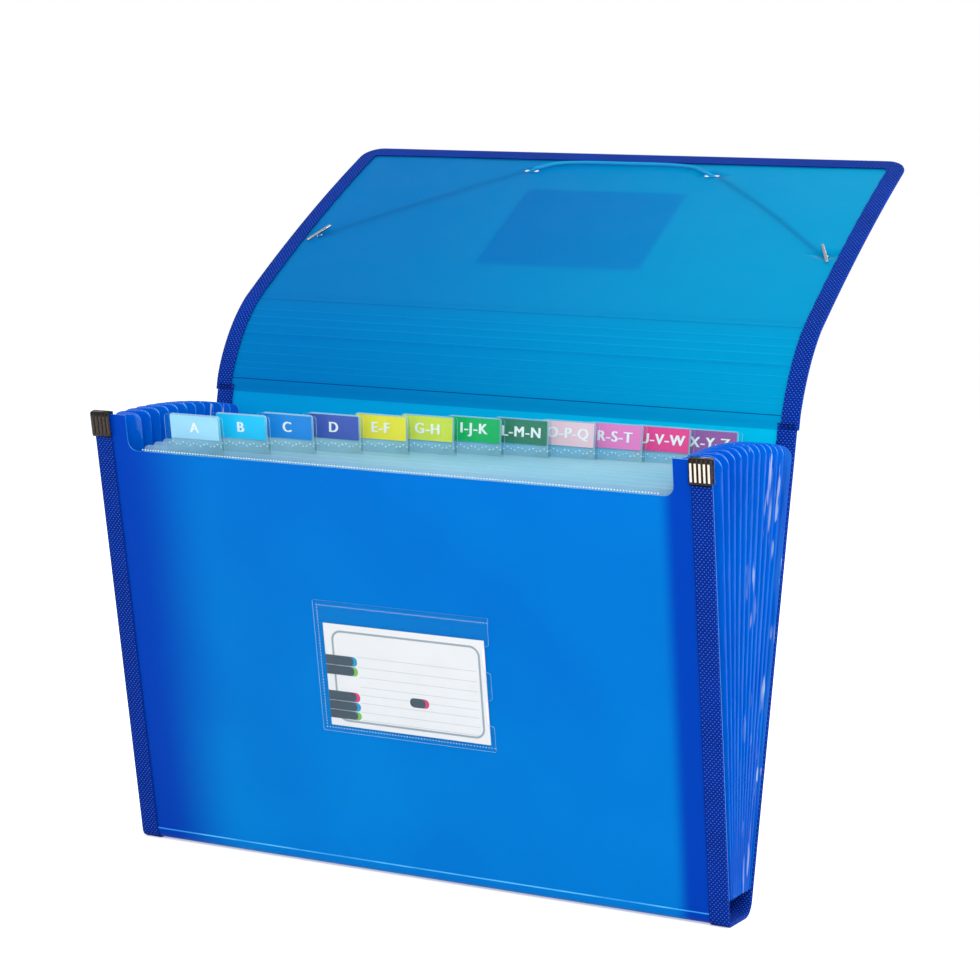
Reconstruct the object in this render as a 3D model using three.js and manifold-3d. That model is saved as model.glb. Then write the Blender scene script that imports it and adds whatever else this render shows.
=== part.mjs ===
// Expanding file for A4 sheets laid across, standing open with its lid thrown back
import * as THREE from "three";
import { mergeVertices } from "three/addons/utils/BufferGeometryUtils.js";
import Module from "manifold-3d";

const wasm = await Module();
wasm.setup();

// Driving sizes in millimetres, angles in degrees

// Cover sheet: front panel, base and back panel folded from one sheet
const sheetWidth = 330;
const sheetThickness = 0.6;
const frontHeight = 235;
const baseDepth = 30;
const backHeight = 245.5;
const frontLean = 15.5;
const backLean = 6.6;
const frontCornerRadius = 3.5;
const backCornerRadius = 7;
const notchWidth = 294;
const notchDepth = 18.5;
const notchCornerRadius = 5;

// Scored strip and lid
const stripLength = 51;
const lidOverhang = 1;
const stripLeanStart = 15.5;
const stripLeanEnd = 46.5;
const lidLength = 164.5;
const lidLeanStart = 52.3;
const lidLeanEnd = 60.3;
const lidCornerRadius = 11;

// Fit between pieces: seats, folds that turn, and how far a fold opens
const seatGap = 0.3;
const foldGap = 0.3;
const foldFlankAngle = 33;

// Woven edge ribbon and its metal end clips
const ribbonThickness = 0.6;
const coverRibbonWidth = 10;
const lidRibbonWidth = 9.5;
const clipWidth = 11;
const clipHeight = 12.5;
const clipWall = 0.6;
const clipFluteCount = 5;
const clipFluteDepth = 0.35;

// Pleated sides
const pocketCount = 13;
const pleatThickness = 0.4;
const pleatDepth = 19.5;
const pleatInset = 0.9;
const pleatBottom = 12;
const pleatHeightFront = 233;
const pleatHeightBack = 230;
const pleatOuterRound = 6;
const pleatInnerRound = 4;
const pleatFoldShare = 0.44;

// Clear dividers with their tabs
const dividerThickness = 0.6;
const dividerBottom = 4.5;
const dividerHeight = 217;
const dividerCornerRadius = 3;
const tabWidth = 29;
const tabHeight = 16;
const tabCornerRadius = 1.5;
const tabFirstInset = 31.5;
const tabLastInset = 20;
const cardThickness = 0.3;
const cardMargin = 0.6;
const sleeveThickness = 0.3;
const sleeveMargin = 2.5;
const sleeveDrop = 9;

// Name card and its pocket on the front panel
const pocketWidth = 96.5;
const pocketHeight = 70.5;
const pocketFromBase = 76;
const pocketFilm = 0.3;
const pocketBorder = 2.2;
const thumbRadius = 7;
const nameCardWidth = 88.5;
const nameCardHeight = 55;
const nameCardSide = 1.2;
const nameCardRise = 3.8;

// What the lid carries
const lidFittingsOffset = 5;
const labelWidth = 96;
const labelLength = 79;
const labelFromFold = 42.5;
const labelThickness = 0.25;
const cordDiameter = 2.2;
const slitLength = 9;
const slitWidth = 3.2;
const slitSpacing = 110;
const slitFromFold = 143;
const barbLength = 18;
const barbWidth = 2;
const barbThickness = 1.5;
const barbLean = 24;
const barbInset = 16;
const barbFromFold = 63;
const barbHoleDiameter = 3.4;

// Steps of the curved stretches
const cornerSteps = 5;
const stripSteps = 5;
const lidSteps = 6;
const roundSteps = 4;
const cordSides = 8;
const cordSteps = 78;

// Sizes that follow from those above
const halfSheet = sheetThickness / 2;
const halfSlot = halfSheet + seatGap;
const halfRibbon = halfSlot + ribbonThickness;
const floorToSheet = halfRibbon;
const sheetEdge = sheetWidth / 2;
const slotEdge = sheetEdge + seatGap;
const ribbonEdge = slotEdge + ribbonThickness;
const lidEdge = sheetEdge + lidOverhang;
const ribbonReach = ribbonEdge - sheetEdge;
const pleatOuterX = ribbonEdge - pleatInset;
const pleatInnerX = pleatOuterX - pleatDepth;
const dividerHalfWidth = pleatInnerX - pleatThickness / 2 - seatGap;
const flankSlope = 1 / Math.tan(THREE.MathUtils.degToRad(foldFlankAngle));
const cordRadius = cordDiameter / 2;
const tabFirstCentre = tabFirstInset - dividerHalfWidth;
const tabLastCentre = dividerHalfWidth - tabLastInset;
const barbFromMiddle = lidEdge - barbInset;
const upright = 90;
const cutMargin = 1;

const materials = {
  sheet: { color: 0x0069d6, roughness: 0.45 },
  lidSheet: { color: 0x0096d2, roughness: 0.4 },
  ribbon: { color: 0x0a2f96, roughness: 0.85 },
  film: { color: 0x005ce6, roughness: 0.2 },
  clearFilm: { color: 0xa9d6e6, roughness: 0.15 },
  clip: { color: 0x3a332e, roughness: 0.35, metalness: 0.9 },
  barb: { color: 0xb9b9bb, roughness: 0.35, metalness: 0.9 },
  cord: { color: 0x1f6fd0, roughness: 0.8 },
  card: { color: 0xf2f3f5, roughness: 0.7 },
  label: { color: 0x1565c4, roughness: 0.7 },
};

const tabColours = [
  0x9fd3ea, 0x00b4e8, 0x0a78c8, 0x3b4aa0, 0xf2e01c, 0xb9d43a,
  0x00a24a, 0x2f6e4f, 0xeec8dc, 0xea74b4, 0xe53585, 0x8e4a8e,
];

const object = new THREE.Group();

// Side view helpers: a point there is (y, z), a heading is measured from +Y towards +Z

function direction(heading) {
  const angle = THREE.MathUtils.degToRad(heading);
  return new THREE.Vector2(Math.cos(angle), Math.sin(angle));
}

function curvedPath(start, length, headingStart, headingEnd, steps) {
  const path = [start.clone()];
  for (let i = 0; i < steps; i += 1) {
    const heading = THREE.MathUtils.lerp(headingStart, headingEnd, (i + 0.5) / steps);
    path.push(path[i].clone().addScaledVector(direction(heading), length / steps));
  }
  return path;
}

function roundCorner(before, corner, after, radius) {
  const inward = before.clone().sub(corner).normalize();
  const outward = after.clone().sub(corner).normalize();
  const halfAngle = Math.acos(THREE.MathUtils.clamp(inward.dot(outward), -1, 1)) / 2;
  const setback = radius / Math.tan(halfAngle);
  const middle = inward.clone().add(outward).normalize();
  const centre = corner.clone().addScaledVector(middle, radius / Math.sin(halfAngle));
  const first = corner.clone().addScaledVector(inward, setback).sub(centre);
  const last = corner.clone().addScaledVector(outward, setback).sub(centre);
  const turn = Math.atan2(first.cross(last), first.dot(last));
  const points = [];
  for (let i = 0; i <= cornerSteps; i += 1) {
    points.push(first.clone().rotateAround(new THREE.Vector2(), (turn * i) / cornerSteps).add(centre));
  }
  return points;
}

// Moves the first and last points along their own segments, outwards when length is positive
function stretchEnds(path, startLength, endLength) {
  const points = path.map((point) => point.clone());
  const last = points.length - 1;
  const startWay = points[0].clone().sub(points[1]).normalize();
  const endWay = points[last].clone().sub(points[last - 1]).normalize();
  points[0].addScaledVector(startWay, startLength);
  points[last].addScaledVector(endWay, endLength);
  return points;
}

// The same line moved to its left by a distance, with mitred corners
function offsetLine(path, distance) {
  return path.map((point, i) => {
    const before = path[Math.max(i - 1, 0)];
    const after = path[Math.min(i + 1, path.length - 1)];
    const inWay = (i > 0 ? point.clone().sub(before) : after.clone().sub(point)).normalize();
    const outWay = (i < path.length - 1 ? after.clone().sub(point) : inWay.clone()).normalize();
    const normal = new THREE.Vector2(-inWay.y - outWay.y, inWay.x + outWay.x).normalize();
    const mitre = distance / (-normal.x * inWay.y + normal.y * inWay.x);
    return point.clone().addScaledVector(normal, mitre);
  });
}

// Solid between two offsets of a side view path, from one x to another
function band(path, low, high, fromX, toX, tipStart = 0, tipEnd = 0) {
  const right = offsetLine(path, low);
  const left = offsetLine(path, high);
  const outline = [...right];
  if (tipEnd > 0) {
    outline.push(stretchEnds(path, 0, tipEnd)[path.length - 1]);
  }
  outline.push(...left.reverse());
  if (tipStart > 0) {
    outline.push(stretchEnds(path, tipStart, 0)[0]);
  }
  const depth = Math.abs(toX - fromX);
  const geometry = new THREE.ExtrudeGeometry(new THREE.Shape(outline), { depth, bevelEnabled: false });
  geometry.applyMatrix4(new THREE.Matrix4().makeBasis(
    new THREE.Vector3(0, 1, 0),
    new THREE.Vector3(0, 0, 1),
    new THREE.Vector3(1, 0, 0),
  ));
  return geometry.translate(Math.min(fromX, toX), 0, 0);
}

// Plate standing in the XZ plane of its own frame, from one y to another
function plate(shape, fromY, toY) {
  const geometry = new THREE.ExtrudeGeometry(shape, {
    depth: toY - fromY,
    bevelEnabled: false,
    curveSegments: roundSteps,
  });
  geometry.applyMatrix4(new THREE.Matrix4().makeBasis(
    new THREE.Vector3(1, 0, 0),
    new THREE.Vector3(0, 0, 1),
    new THREE.Vector3(0, -1, 0),
  ));
  return geometry.translate(0, toY, 0);
}

// Outline of straight runs with each corner rounded by its own radius
function roundedOutline(corners) {
  const shape = new THREE.Shape();
  corners.forEach(([x, y, radius], i) => {
    const point = new THREE.Vector2(x, y);
    const before = corners[(i + corners.length - 1) % corners.length];
    const after = corners[(i + 1) % corners.length];
    const inWay = new THREE.Vector2(before[0], before[1]).sub(point).normalize();
    const outWay = new THREE.Vector2(after[0], after[1]).sub(point).normalize();
    const start = point.clone().addScaledVector(inWay, radius);
    const end = point.clone().addScaledVector(outWay, radius);
    if (i === 0) {
      shape.moveTo(start.x, start.y);
    } else {
      shape.lineTo(start.x, start.y);
    }
    if (radius > 0) {
      shape.quadraticCurveTo(x, y, end.x, end.y);
    }
  });
  shape.closePath();
  return shape;
}

function rectangle(left, right, bottom, top, radius = 0) {
  return roundedOutline([
    [left, bottom, radius],
    [right, bottom, radius],
    [right, top, radius],
    [left, top, radius],
  ]);
}

// Solids for cutting and joining
function solid(geometry, matrix = new THREE.Matrix4()) {
  const bare = geometry.clone().applyMatrix4(matrix);
  bare.deleteAttribute("normal");
  bare.deleteAttribute("uv");
  const merged = mergeVertices(bare, 1e-4);
  const vertProperties = new Float32Array(merged.attributes.position.array);
  const triVerts = new Uint32Array(merged.index.array);
  return new wasm.Manifold(new wasm.Mesh({ numProp: 3, vertProperties, triVerts }));
}

function surface(body) {
  const mesh = body.getMesh();
  const geometry = new THREE.BufferGeometry();
  geometry.setAttribute("position", new THREE.BufferAttribute(mesh.vertProperties, 3));
  geometry.setIndex(new THREE.BufferAttribute(mesh.triVerts, 1));
  return geometry;
}

function addMesh(name, geometry, look, parent = object) {
  const mesh = new THREE.Mesh(geometry, new THREE.MeshStandardMaterial(look));
  mesh.name = name;
  parent.add(mesh);
  return mesh;
}

// A frame whose own z runs up a leaf with this heading and whose own x stays across
function leafFrame(origin, heading) {
  const frame = new THREE.Group();
  frame.position.set(0, origin.x, origin.y);
  frame.rotation.x = THREE.MathUtils.degToRad(heading - upright);
  frame.updateMatrixWorld(true);
  object.add(frame);
  return frame;
}

// Side view of the cover
const frontHeading = upright + frontLean;
const backHeading = upright - backLean;
const frontCrease = new THREE.Vector2(0, floorToSheet);
const backCrease = new THREE.Vector2(baseDepth, floorToSheet);
const frontTop = frontCrease.clone().addScaledVector(direction(frontHeading), frontHeight);
const lowerFold = backCrease.clone().addScaledVector(direction(backHeading), backHeight);
const coverPath = [
  frontTop,
  ...roundCorner(frontTop, frontCrease, backCrease, frontCornerRadius),
  ...roundCorner(frontCrease, backCrease, lowerFold, backCornerRadius),
  lowerFold,
];
const stripPath = curvedPath(
  lowerFold, stripLength, upright - stripLeanStart, upright - stripLeanEnd, stripSteps,
);
const upperFold = stripPath[stripPath.length - 1];
const lidPath = curvedPath(upperFold, lidLength, upright - lidLeanStart, upright - lidLeanEnd, lidSteps);

// At a fold the sheet ends in a blunt wedge, so that it can turn without touching
const sheetTip = halfSheet * flankSlope;
const sheetFoldSetback = foldGap / 2 + sheetTip;
const ribbonFoldSetback = foldGap / 2 + halfRibbon * flankSlope;

const frontFrame = leafFrame(frontCrease, frontHeading);
const lidHeading = upright - (lidLeanStart + lidLeanEnd) / 2;
const lidFrame = leafFrame(upperFold, lidHeading);

function makeCoverSheet() {
  const whole = band(
    stretchEnds(coverPath, 0, -sheetFoldSetback), -halfSheet, halfSheet, -sheetEdge, sheetEdge, 0, sheetTip,
  );
  const lowest = frontHeight - notchDepth;
  const side = notchWidth / 2;
  const above = frontHeight + notchDepth;
  const notch = roundedOutline([
    [-side, above, 0],
    [-side, lowest, notchCornerRadius],
    [side, lowest, notchCornerRadius],
    [side, above, 0],
  ]);
  const cutter = plate(notch, -notchDepth / 4, notchDepth / 4);
  return surface(solid(whole).subtract(solid(cutter, frontFrame.matrixWorld)));
}

// Ribbon folded round one side edge of a sheet that follows the path
function edgeRibbon(path, width, edge, side) {
  const outer = edge + ribbonReach;
  const fold = band(path, -halfRibbon, halfRibbon, side * (outer - width), side * outer);
  const overlap = 2 * width;
  const slot = band(
    stretchEnds(path, overlap, overlap), -halfSlot, halfSlot, side * (outer - overlap), side * (edge + seatGap),
  );
  return surface(solid(fold).subtract(solid(slot)));
}

function makeStrip() {
  const path = stretchEnds(stripPath, -sheetFoldSetback, -sheetFoldSetback);
  return band(path, -halfSheet, halfSheet, -lidEdge, lidEdge, sheetTip, sheetTip);
}

// Outline of the lid or of what follows its edge, grown outwards by a margin
function lidPrism(margin, radius, bottom) {
  const side = lidEdge + margin;
  const top = lidLength + margin;
  const outline = roundedOutline([
    [-side, bottom, 0],
    [side, bottom, 0],
    [side, top, radius],
    [-side, top, radius],
  ]);
  return solid(plate(outline, -lidLength, lidLength), lidFrame.matrixWorld);
}

// A point of the lid: x across, length along it from the fold, height on its inner side
function lidPoint(x, length, height) {
  const step = lidLength / lidSteps;
  const index = THREE.MathUtils.clamp(Math.floor(length / step), 0, lidSteps - 1);
  const from = lidPath[index];
  const way = lidPath[index + 1].clone().sub(from).normalize();
  const point = from.clone().addScaledVector(way, length - index * step);
  return new THREE.Vector3(x, point.x - way.y * height, point.y + way.x * height);
}

function lidHole(x, length, holeLength, holeWidth, turn) {
  const outline = rectangle(-holeLength / 2, holeLength / 2, -holeWidth / 2, holeWidth / 2, holeWidth / 2);
  const centre = lidPoint(x, length, 0);
  const place = new THREE.Matrix4().makeTranslation(centre.x, centre.y, centre.z);
  place.multiply(new THREE.Matrix4().makeRotationX(THREE.MathUtils.degToRad(lidHeading - upright)));
  place.multiply(new THREE.Matrix4().makeRotationY(turn));
  return solid(plate(outline, -slitLength, slitLength), place);
}

function makeLid() {
  const path = stretchEnds(lidPath, -sheetFoldSetback, lidCornerRadius);
  const whole = band(path, -halfSheet, halfSheet, -lidEdge - cutMargin, lidEdge + cutMargin, sheetTip, 0);
  let body = solid(whole).intersect(lidPrism(0, lidCornerRadius, -lidLength));
  for (const side of [-1, 1]) {
    const slitX = lidFittingsOffset + (side * slitSpacing) / 2;
    body = body.subtract(lidHole(slitX, slitFromFold, slitLength, slitWidth, 0));
    body = body.subtract(lidHole(side * barbFromMiddle, barbFromFold, barbHoleDiameter, barbHoleDiameter, 0));
  }
  return surface(body);
}

function makeLidRibbon() {
  const reach = lidCornerRadius + ribbonReach;
  const fullPath = stretchEnds(lidPath, -ribbonFoldSetback, reach);
  const slotPath = stretchEnds(lidPath, reach, reach);
  const beyond = lidEdge + reach;
  const outer = solid(band(fullPath, -halfRibbon, halfRibbon, -beyond, beyond));
  const slot = solid(band(slotPath, -halfSlot, halfSlot, -beyond, beyond));
  return surface(
    outer
      .intersect(lidPrism(ribbonReach, lidCornerRadius + ribbonReach, -lidLength))
      .subtract(slot.intersect(lidPrism(seatGap, lidCornerRadius + seatGap, -lidLength)))
      .subtract(lidPrism(ribbonReach - lidRibbonWidth, lidCornerRadius / 2, -lidLength)),
  );
}

// Ribbed clip over the ribbon's end at a top corner of the front panel
function makeClip(side) {
  const inside = halfRibbon + seatGap;
  const outside = inside + clipWall;
  const pitch = clipWidth / clipFluteCount;
  const fluteSteps = 4;
  const half = [];
  for (let i = 0; i < clipFluteCount * fluteSteps; i += 1) {
    const rise = clipFluteDepth * Math.abs(Math.sin((Math.PI * i) / fluteSteps));
    half.push(new THREE.Vector2(-clipWidth / 2 + (pitch * i) / fluteSteps, -outside - rise));
  }
  half.push(new THREE.Vector2(clipWidth / 2, -outside));
  half.push(new THREE.Vector2(clipWidth / 2, outside));
  half.push(new THREE.Vector2(-clipWidth / 2, outside));
  const block = new THREE.ExtrudeGeometry(new THREE.Shape(half), { depth: clipHeight, bevelEnabled: false });
  const ribbonMiddle = side * (ribbonEdge - coverRibbonWidth / 2);
  const top = frontHeight + seatGap + clipWall;
  block.translate(ribbonMiddle, 0, top - clipHeight);
  const slot = plate(
    rectangle(
      ribbonMiddle - clipWidth,
      ribbonMiddle + clipWidth,
      frontHeight - 2 * clipHeight,
      frontHeight + seatGap,
    ),
    -inside,
    inside,
  );
  return surface(solid(block).subtract(solid(slot)));
}

// The fan of leaves between the front and back panels: station 0 is at the front, 1 at the back
const fanBackInset = halfRibbon + seatGap + pleatThickness / 2;
const fanFrontInset = fanBackInset + clipWall + seatGap;
const fanFloor = floorToSheet + halfSheet + seatGap;
const fanRise = fanFloor - floorToSheet;
const frontSlope = Math.tan(THREE.MathUtils.degToRad(frontLean));
const backSlope = Math.tan(THREE.MathUtils.degToRad(backLean));
const fanFrontY = fanFrontInset / Math.cos(THREE.MathUtils.degToRad(frontLean)) - fanRise * frontSlope;
const fanBackY = baseDepth - fanBackInset / Math.cos(THREE.MathUtils.degToRad(backLean)) + fanRise * backSlope;

function fanOrigin(station) {
  return new THREE.Vector2(THREE.MathUtils.lerp(fanFrontY, fanBackY, station), fanFloor);
}

function fanHeading(station) {
  return THREE.MathUtils.lerp(frontHeading, backHeading, station);
}

function fanPoint(station, height) {
  return fanOrigin(station).addScaledVector(direction(fanHeading(station)), height);
}

// Pleated film, seen from above: x across and w from the front panel to the back panel
function pleatLine(spread, foldWidth) {
  const pitch = spread / pocketCount;
  const line = [];
  const addLeg = (fromX, fromW, toX, toW, outerFirst) => {
    const length = Math.abs(toX - fromX);
    const nearOuter = [0, 0.2 * pleatOuterRound, 0.85 * pleatOuterRound];
    const nearInner = [0, 0.2 * pleatInnerRound, 0.85 * pleatInnerRound];
    const start = outerFirst ? nearOuter : nearInner;
    const end = outerFirst ? nearInner : nearOuter;
    const stops = [...start, ...end.map((distance) => length - distance).reverse()];
    for (const distance of stops) {
      const share = distance / length;
      const outerDistance = outerFirst ? distance : length - distance;
      line.push({
        x: THREE.MathUtils.lerp(fromX, toX, share),
        w: THREE.MathUtils.lerp(fromW, toW, share),
        drop: edgeDrop(outerDistance, pleatOuterRound) + edgeDrop(length - outerDistance, pleatInnerRound),
      });
    }
  };
  for (let i = 1; i < pocketCount; i += 1) {
    const inner = pitch * i;
    const before = i === 1 ? 0 : inner - pitch / 2 + foldWidth / 2;
    const after = i === pocketCount - 1 ? spread : inner + pitch / 2 - foldWidth / 2;
    addLeg(pleatOuterX, before, pleatInnerX, inner - foldWidth / 2, true);
    addLeg(pleatInnerX, inner + foldWidth / 2, pleatOuterX, after, false);
  }
  return line;
}

// How far a rounded corner falls below the straight top at this distance from its side
function edgeDrop(distance, radius) {
  const inside = Math.max(radius - distance, 0);
  return radius - Math.sqrt(radius * radius - inside * inside);
}

function pleatRing(height, topped) {
  const spread = fanPoint(1, height).distanceTo(fanPoint(0, height));
  const foldWidth = (pleatFoldShare * fanPoint(1, pleatBottom).distanceTo(fanPoint(0, pleatBottom))) / pocketCount;
  const line = pleatLine(spread, foldWidth);
  const middle = line.map((point) => new THREE.Vector2(point.x, point.w));
  const left = offsetLine(middle, pleatThickness / 2);
  const right = offsetLine(middle, -pleatThickness / 2);
  const plan = [...right, ...left.reverse()];
  const drops = line.map((point) => point.drop);
  const allDrops = [...drops, ...drops.slice().reverse()];
  return plan.map((point, i) => {
    const station = point.y / spread;
    const top = THREE.MathUtils.lerp(pleatHeightFront, pleatHeightBack, station);
    const side = fanPoint(station, topped ? top - allDrops[i] : height);
    return new THREE.Vector3(point.x, side.x, side.y);
  });
}

// Closed solid between two rings, each of which runs up one side of the film and back down the other
function loft(lower, upper) {
  const count = lower.length;
  const index = [];
  for (let i = 0; i < count / 2 - 1; i += 1) {
    const next = i + 1;
    const across = count - 1 - i;
    index.push(i, across - 1, next, i, across, across - 1);
    index.push(count + i, count + next, count + across - 1, count + i, count + across - 1, count + across);
  }
  for (let i = 0; i < count; i += 1) {
    const next = (i + 1) % count;
    index.push(i, next, count + next);
    index.push(i, count + next, count + i);
  }
  const geometry = new THREE.BufferGeometry();
  geometry.setFromPoints([...lower, ...upper]);
  geometry.setIndex(index);
  return geometry;
}

function makeGusset(side) {
  const geometry = loft(pleatRing(pleatBottom, false), pleatRing(pleatHeightFront, true));
  if (side > 0) {
    return geometry;
  }
  geometry.scale(-1, 1, 1);
  const turned = [];
  const order = geometry.index.array;
  for (let i = 0; i < order.length; i += 3) {
    turned.push(order[i], order[i + 2], order[i + 1]);
  }
  geometry.setIndex(turned);
  return geometry;
}

// One clear leaf with its tab, the coloured card in it and the film over the card
function addDivider(number) {
  const label = String(number).padStart(2, "0");
  const station = number / pocketCount;
  const frame = leafFrame(fanOrigin(station), fanHeading(station));
  const centre = THREE.MathUtils.lerp(tabFirstCentre, tabLastCentre, (number - 1) / (pocketCount - 2));
  const tabLeft = centre - tabWidth / 2;
  const tabRight = centre + tabWidth / 2;
  const tabTop = dividerHeight + tabHeight;
  const half = dividerThickness / 2;
  const leaf = roundedOutline([
    [-dividerHalfWidth, dividerBottom, dividerCornerRadius],
    [dividerHalfWidth, dividerBottom, dividerCornerRadius],
    [dividerHalfWidth, dividerHeight, dividerCornerRadius],
    [tabRight, dividerHeight, 0],
    [tabRight, tabTop, tabCornerRadius],
    [tabLeft, tabTop, tabCornerRadius],
    [tabLeft, dividerHeight, 0],
    [-dividerHalfWidth, dividerHeight, dividerCornerRadius],
  ]);
  addMesh(`divider_${label}`, plate(leaf, -half, half), materials.clearFilm, frame);

  const cardBack = -half - seatGap;
  const cardFront = cardBack - cardThickness;
  const card = rectangle(
    tabLeft + cardMargin,
    tabRight - cardMargin,
    dividerHeight,
    tabTop - cardMargin,
  );
  const cardLook = { color: tabColours[(number - 1) % tabColours.length], roughness: 0.6 };
  addMesh(`index_card_${label}`, plate(card, cardFront, cardBack), cardLook, frame);

  const sleeveBack = cardFront - seatGap;
  const sleeve = rectangle(
    tabLeft - sleeveMargin,
    tabRight + sleeveMargin,
    dividerHeight - sleeveDrop,
    tabTop - cardMargin,
    tabCornerRadius,
  );
  addMesh(`tab_sleeve_${label}`, plate(sleeve, sleeveBack - sleeveThickness, sleeveBack), materials.clearFilm, frame);
}

// Clear pocket on the front panel, open on its right, with two thumb cuts there
function addNameCard() {
  const panelFace = -halfSheet - seatGap;
  const cardBack = panelFace - seatGap;
  const cardFront = cardBack - cardThickness;
  const filmBack = cardFront - seatGap;
  const filmFront = filmBack - pocketFilm;
  const left = -pocketWidth / 2;
  const right = pocketWidth / 2;
  const top = pocketFromBase + pocketHeight;
  let pocket = solid(plate(rectangle(left, right, pocketFromBase, top, 1), filmFront, panelFace));
  const cavity = rectangle(
    left + pocketBorder,
    right + pocketBorder,
    pocketFromBase + pocketBorder,
    top - pocketBorder,
  );
  pocket = pocket.subtract(solid(plate(cavity, filmBack, panelFace + cutMargin)));
  for (const share of [0.3, 0.7]) {
    const thumb = new THREE.Shape().absarc(right, pocketFromBase + share * pocketHeight, thumbRadius, 0, 2 * Math.PI);
    pocket = pocket.subtract(solid(plate(thumb, filmFront - cutMargin, panelFace + cutMargin)));
  }
  addMesh("label_pocket", surface(pocket), materials.clearFilm, frontFrame);
  const cardLeft = nameCardSide - nameCardWidth / 2;
  const cardBottom = pocketFromBase + nameCardRise;
  const card = rectangle(cardLeft, cardLeft + nameCardWidth, cardBottom, cardBottom + nameCardHeight);
  addMesh("name_card", plate(card, cardFront, cardBack), materials.card, frontFrame);
}

// Plain label on the lid's outer side
function makeLidLabel() {
  const step = lidLength / lidSteps;
  const stops = [labelFromFold];
  for (let i = Math.ceil(labelFromFold / step); i * step < labelFromFold + labelLength; i += 1) {
    stops.push(i * step);
  }
  stops.push(labelFromFold + labelLength);
  const path = stops.map((length) => {
    const point = lidPoint(0, length, 0);
    return new THREE.Vector2(point.y, point.z);
  });
  const near = -halfSheet - seatGap;
  const left = lidFittingsOffset - labelWidth / 2;
  return band(path, near - labelThickness, near, left, left + labelWidth);
}

// Closing cord: x across, length along the lid and height on its inner side, point by point
const cordInside = halfSheet + seatGap + cordRadius;
const cordStart = halfSheet + cordRadius / 2;
const cordRoute = [
  [-150, 63, cordStart],
  [-150, 63, -1],
  [-149.5, 63.4, -cordInside - 0.35],
  [-147.8, 64.9, -cordInside - 0.4],
  [-143, 69, -cordInside],
  [-100, 104.5, -cordInside],
  [-56.5, 140.6, -cordInside],
  [-53, 142.7, -1.6],
  [-50, 143, 0],
  [-47, 143.3, 1.6],
  [-43.5, 145.2, cordInside],
  [-37, 149.4, cordInside],
  [-22, 151.6, cordInside],
  [5, 151.8, cordInside],
  [32, 151.6, cordInside],
  [47, 149.4, cordInside],
  [53.5, 145.2, cordInside],
  [57, 143.3, 1.6],
  [60, 143, 0],
  [63, 142.7, -1.6],
  [66.5, 140.6, -cordInside],
  [105, 106.5, -cordInside],
  [143, 69, -cordInside],
  [147.8, 64.9, -cordInside - 0.4],
  [149.5, 63.4, -cordInside - 0.35],
  [150, 63, -1],
  [150, 63, cordStart],
];

function makeCord() {
  const route = cordRoute.map(([x, length, height]) => lidPoint(x, length, height));
  const curve = new THREE.CatmullRomCurve3(route, false, "centripetal");
  const section = new THREE.Shape();
  for (let i = 0; i < cordSides; i += 1) {
    const angle = (2 * Math.PI * i) / cordSides;
    const x = cordRadius * Math.cos(angle);
    const y = cordRadius * Math.sin(angle);
    if (i === 0) {
      section.moveTo(x, y);
    } else {
      section.lineTo(x, y);
    }
  }
  section.closePath();
  return new THREE.ExtrudeGeometry(section, { steps: cordSteps, extrudePath: curve, bevelEnabled: false });
}

// Metal bar on the cord's end, lying across its hole in the lid
function addBarb(side, name) {
  const centre = lidPoint(side * barbFromMiddle, barbFromFold, cordStart + seatGap + barbThickness / 2);
  const outline = rectangle(-barbWidth / 2, barbWidth / 2, -barbLength / 2, barbLength / 2, barbWidth / 2.5);
  const mesh = addMesh(name, plate(outline, -barbThickness / 2, barbThickness / 2), materials.barb);
  mesh.position.copy(centre);
  mesh.rotation.x = THREE.MathUtils.degToRad(lidHeading - upright);
  mesh.rotateY(-side * THREE.MathUtils.degToRad(barbLean));
}

addMesh("cover_sheet", makeCoverSheet(), materials.sheet);
addMesh("flap_strip", makeStrip(), materials.lidSheet);
addMesh("flap_panel", makeLid(), materials.lidSheet);
addMesh("flap_binding", makeLidRibbon(), materials.ribbon);

const coverRibbonPath = stretchEnds(coverPath, 0, -ribbonFoldSetback);
const stripRibbonPath = stretchEnds(stripPath, -ribbonFoldSetback, -ribbonFoldSetback);
for (const [side, name] of [[-1, "left"], [1, "right"]]) {
  addMesh(`binding_${name}`, edgeRibbon(coverRibbonPath, coverRibbonWidth, sheetEdge, side), materials.ribbon);
  addMesh(`strip_binding_${name}`, edgeRibbon(stripRibbonPath, lidRibbonWidth, lidEdge, side), materials.ribbon);
  addMesh(`end_clip_${name}`, makeClip(side), materials.clip, frontFrame);
  addMesh(`gusset_${name}`, makeGusset(side), materials.film);
  addBarb(side, `cord_barb_${name}`);
}

for (let number = 1; number < pocketCount; number += 1) {
  addDivider(number);
}
addNameCard();
addMesh("lid_label", makeLidLabel(), materials.label);
addMesh("elastic_cord", makeCord(), materials.cord);

// The origin is the middle of the footprint's box, on the floor
object.updateMatrixWorld(true);
const box = new THREE.Box3().setFromObject(object, true);
object.position.set(-(box.min.x + box.max.x) / 2, -(box.min.y + box.max.y) / 2, -box.min.z);
object.updateMatrixWorld(true);

export default object;
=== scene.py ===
import bisect
import math

import bmesh
import bpy
from mathutils import Matrix, Vector, noise


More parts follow.
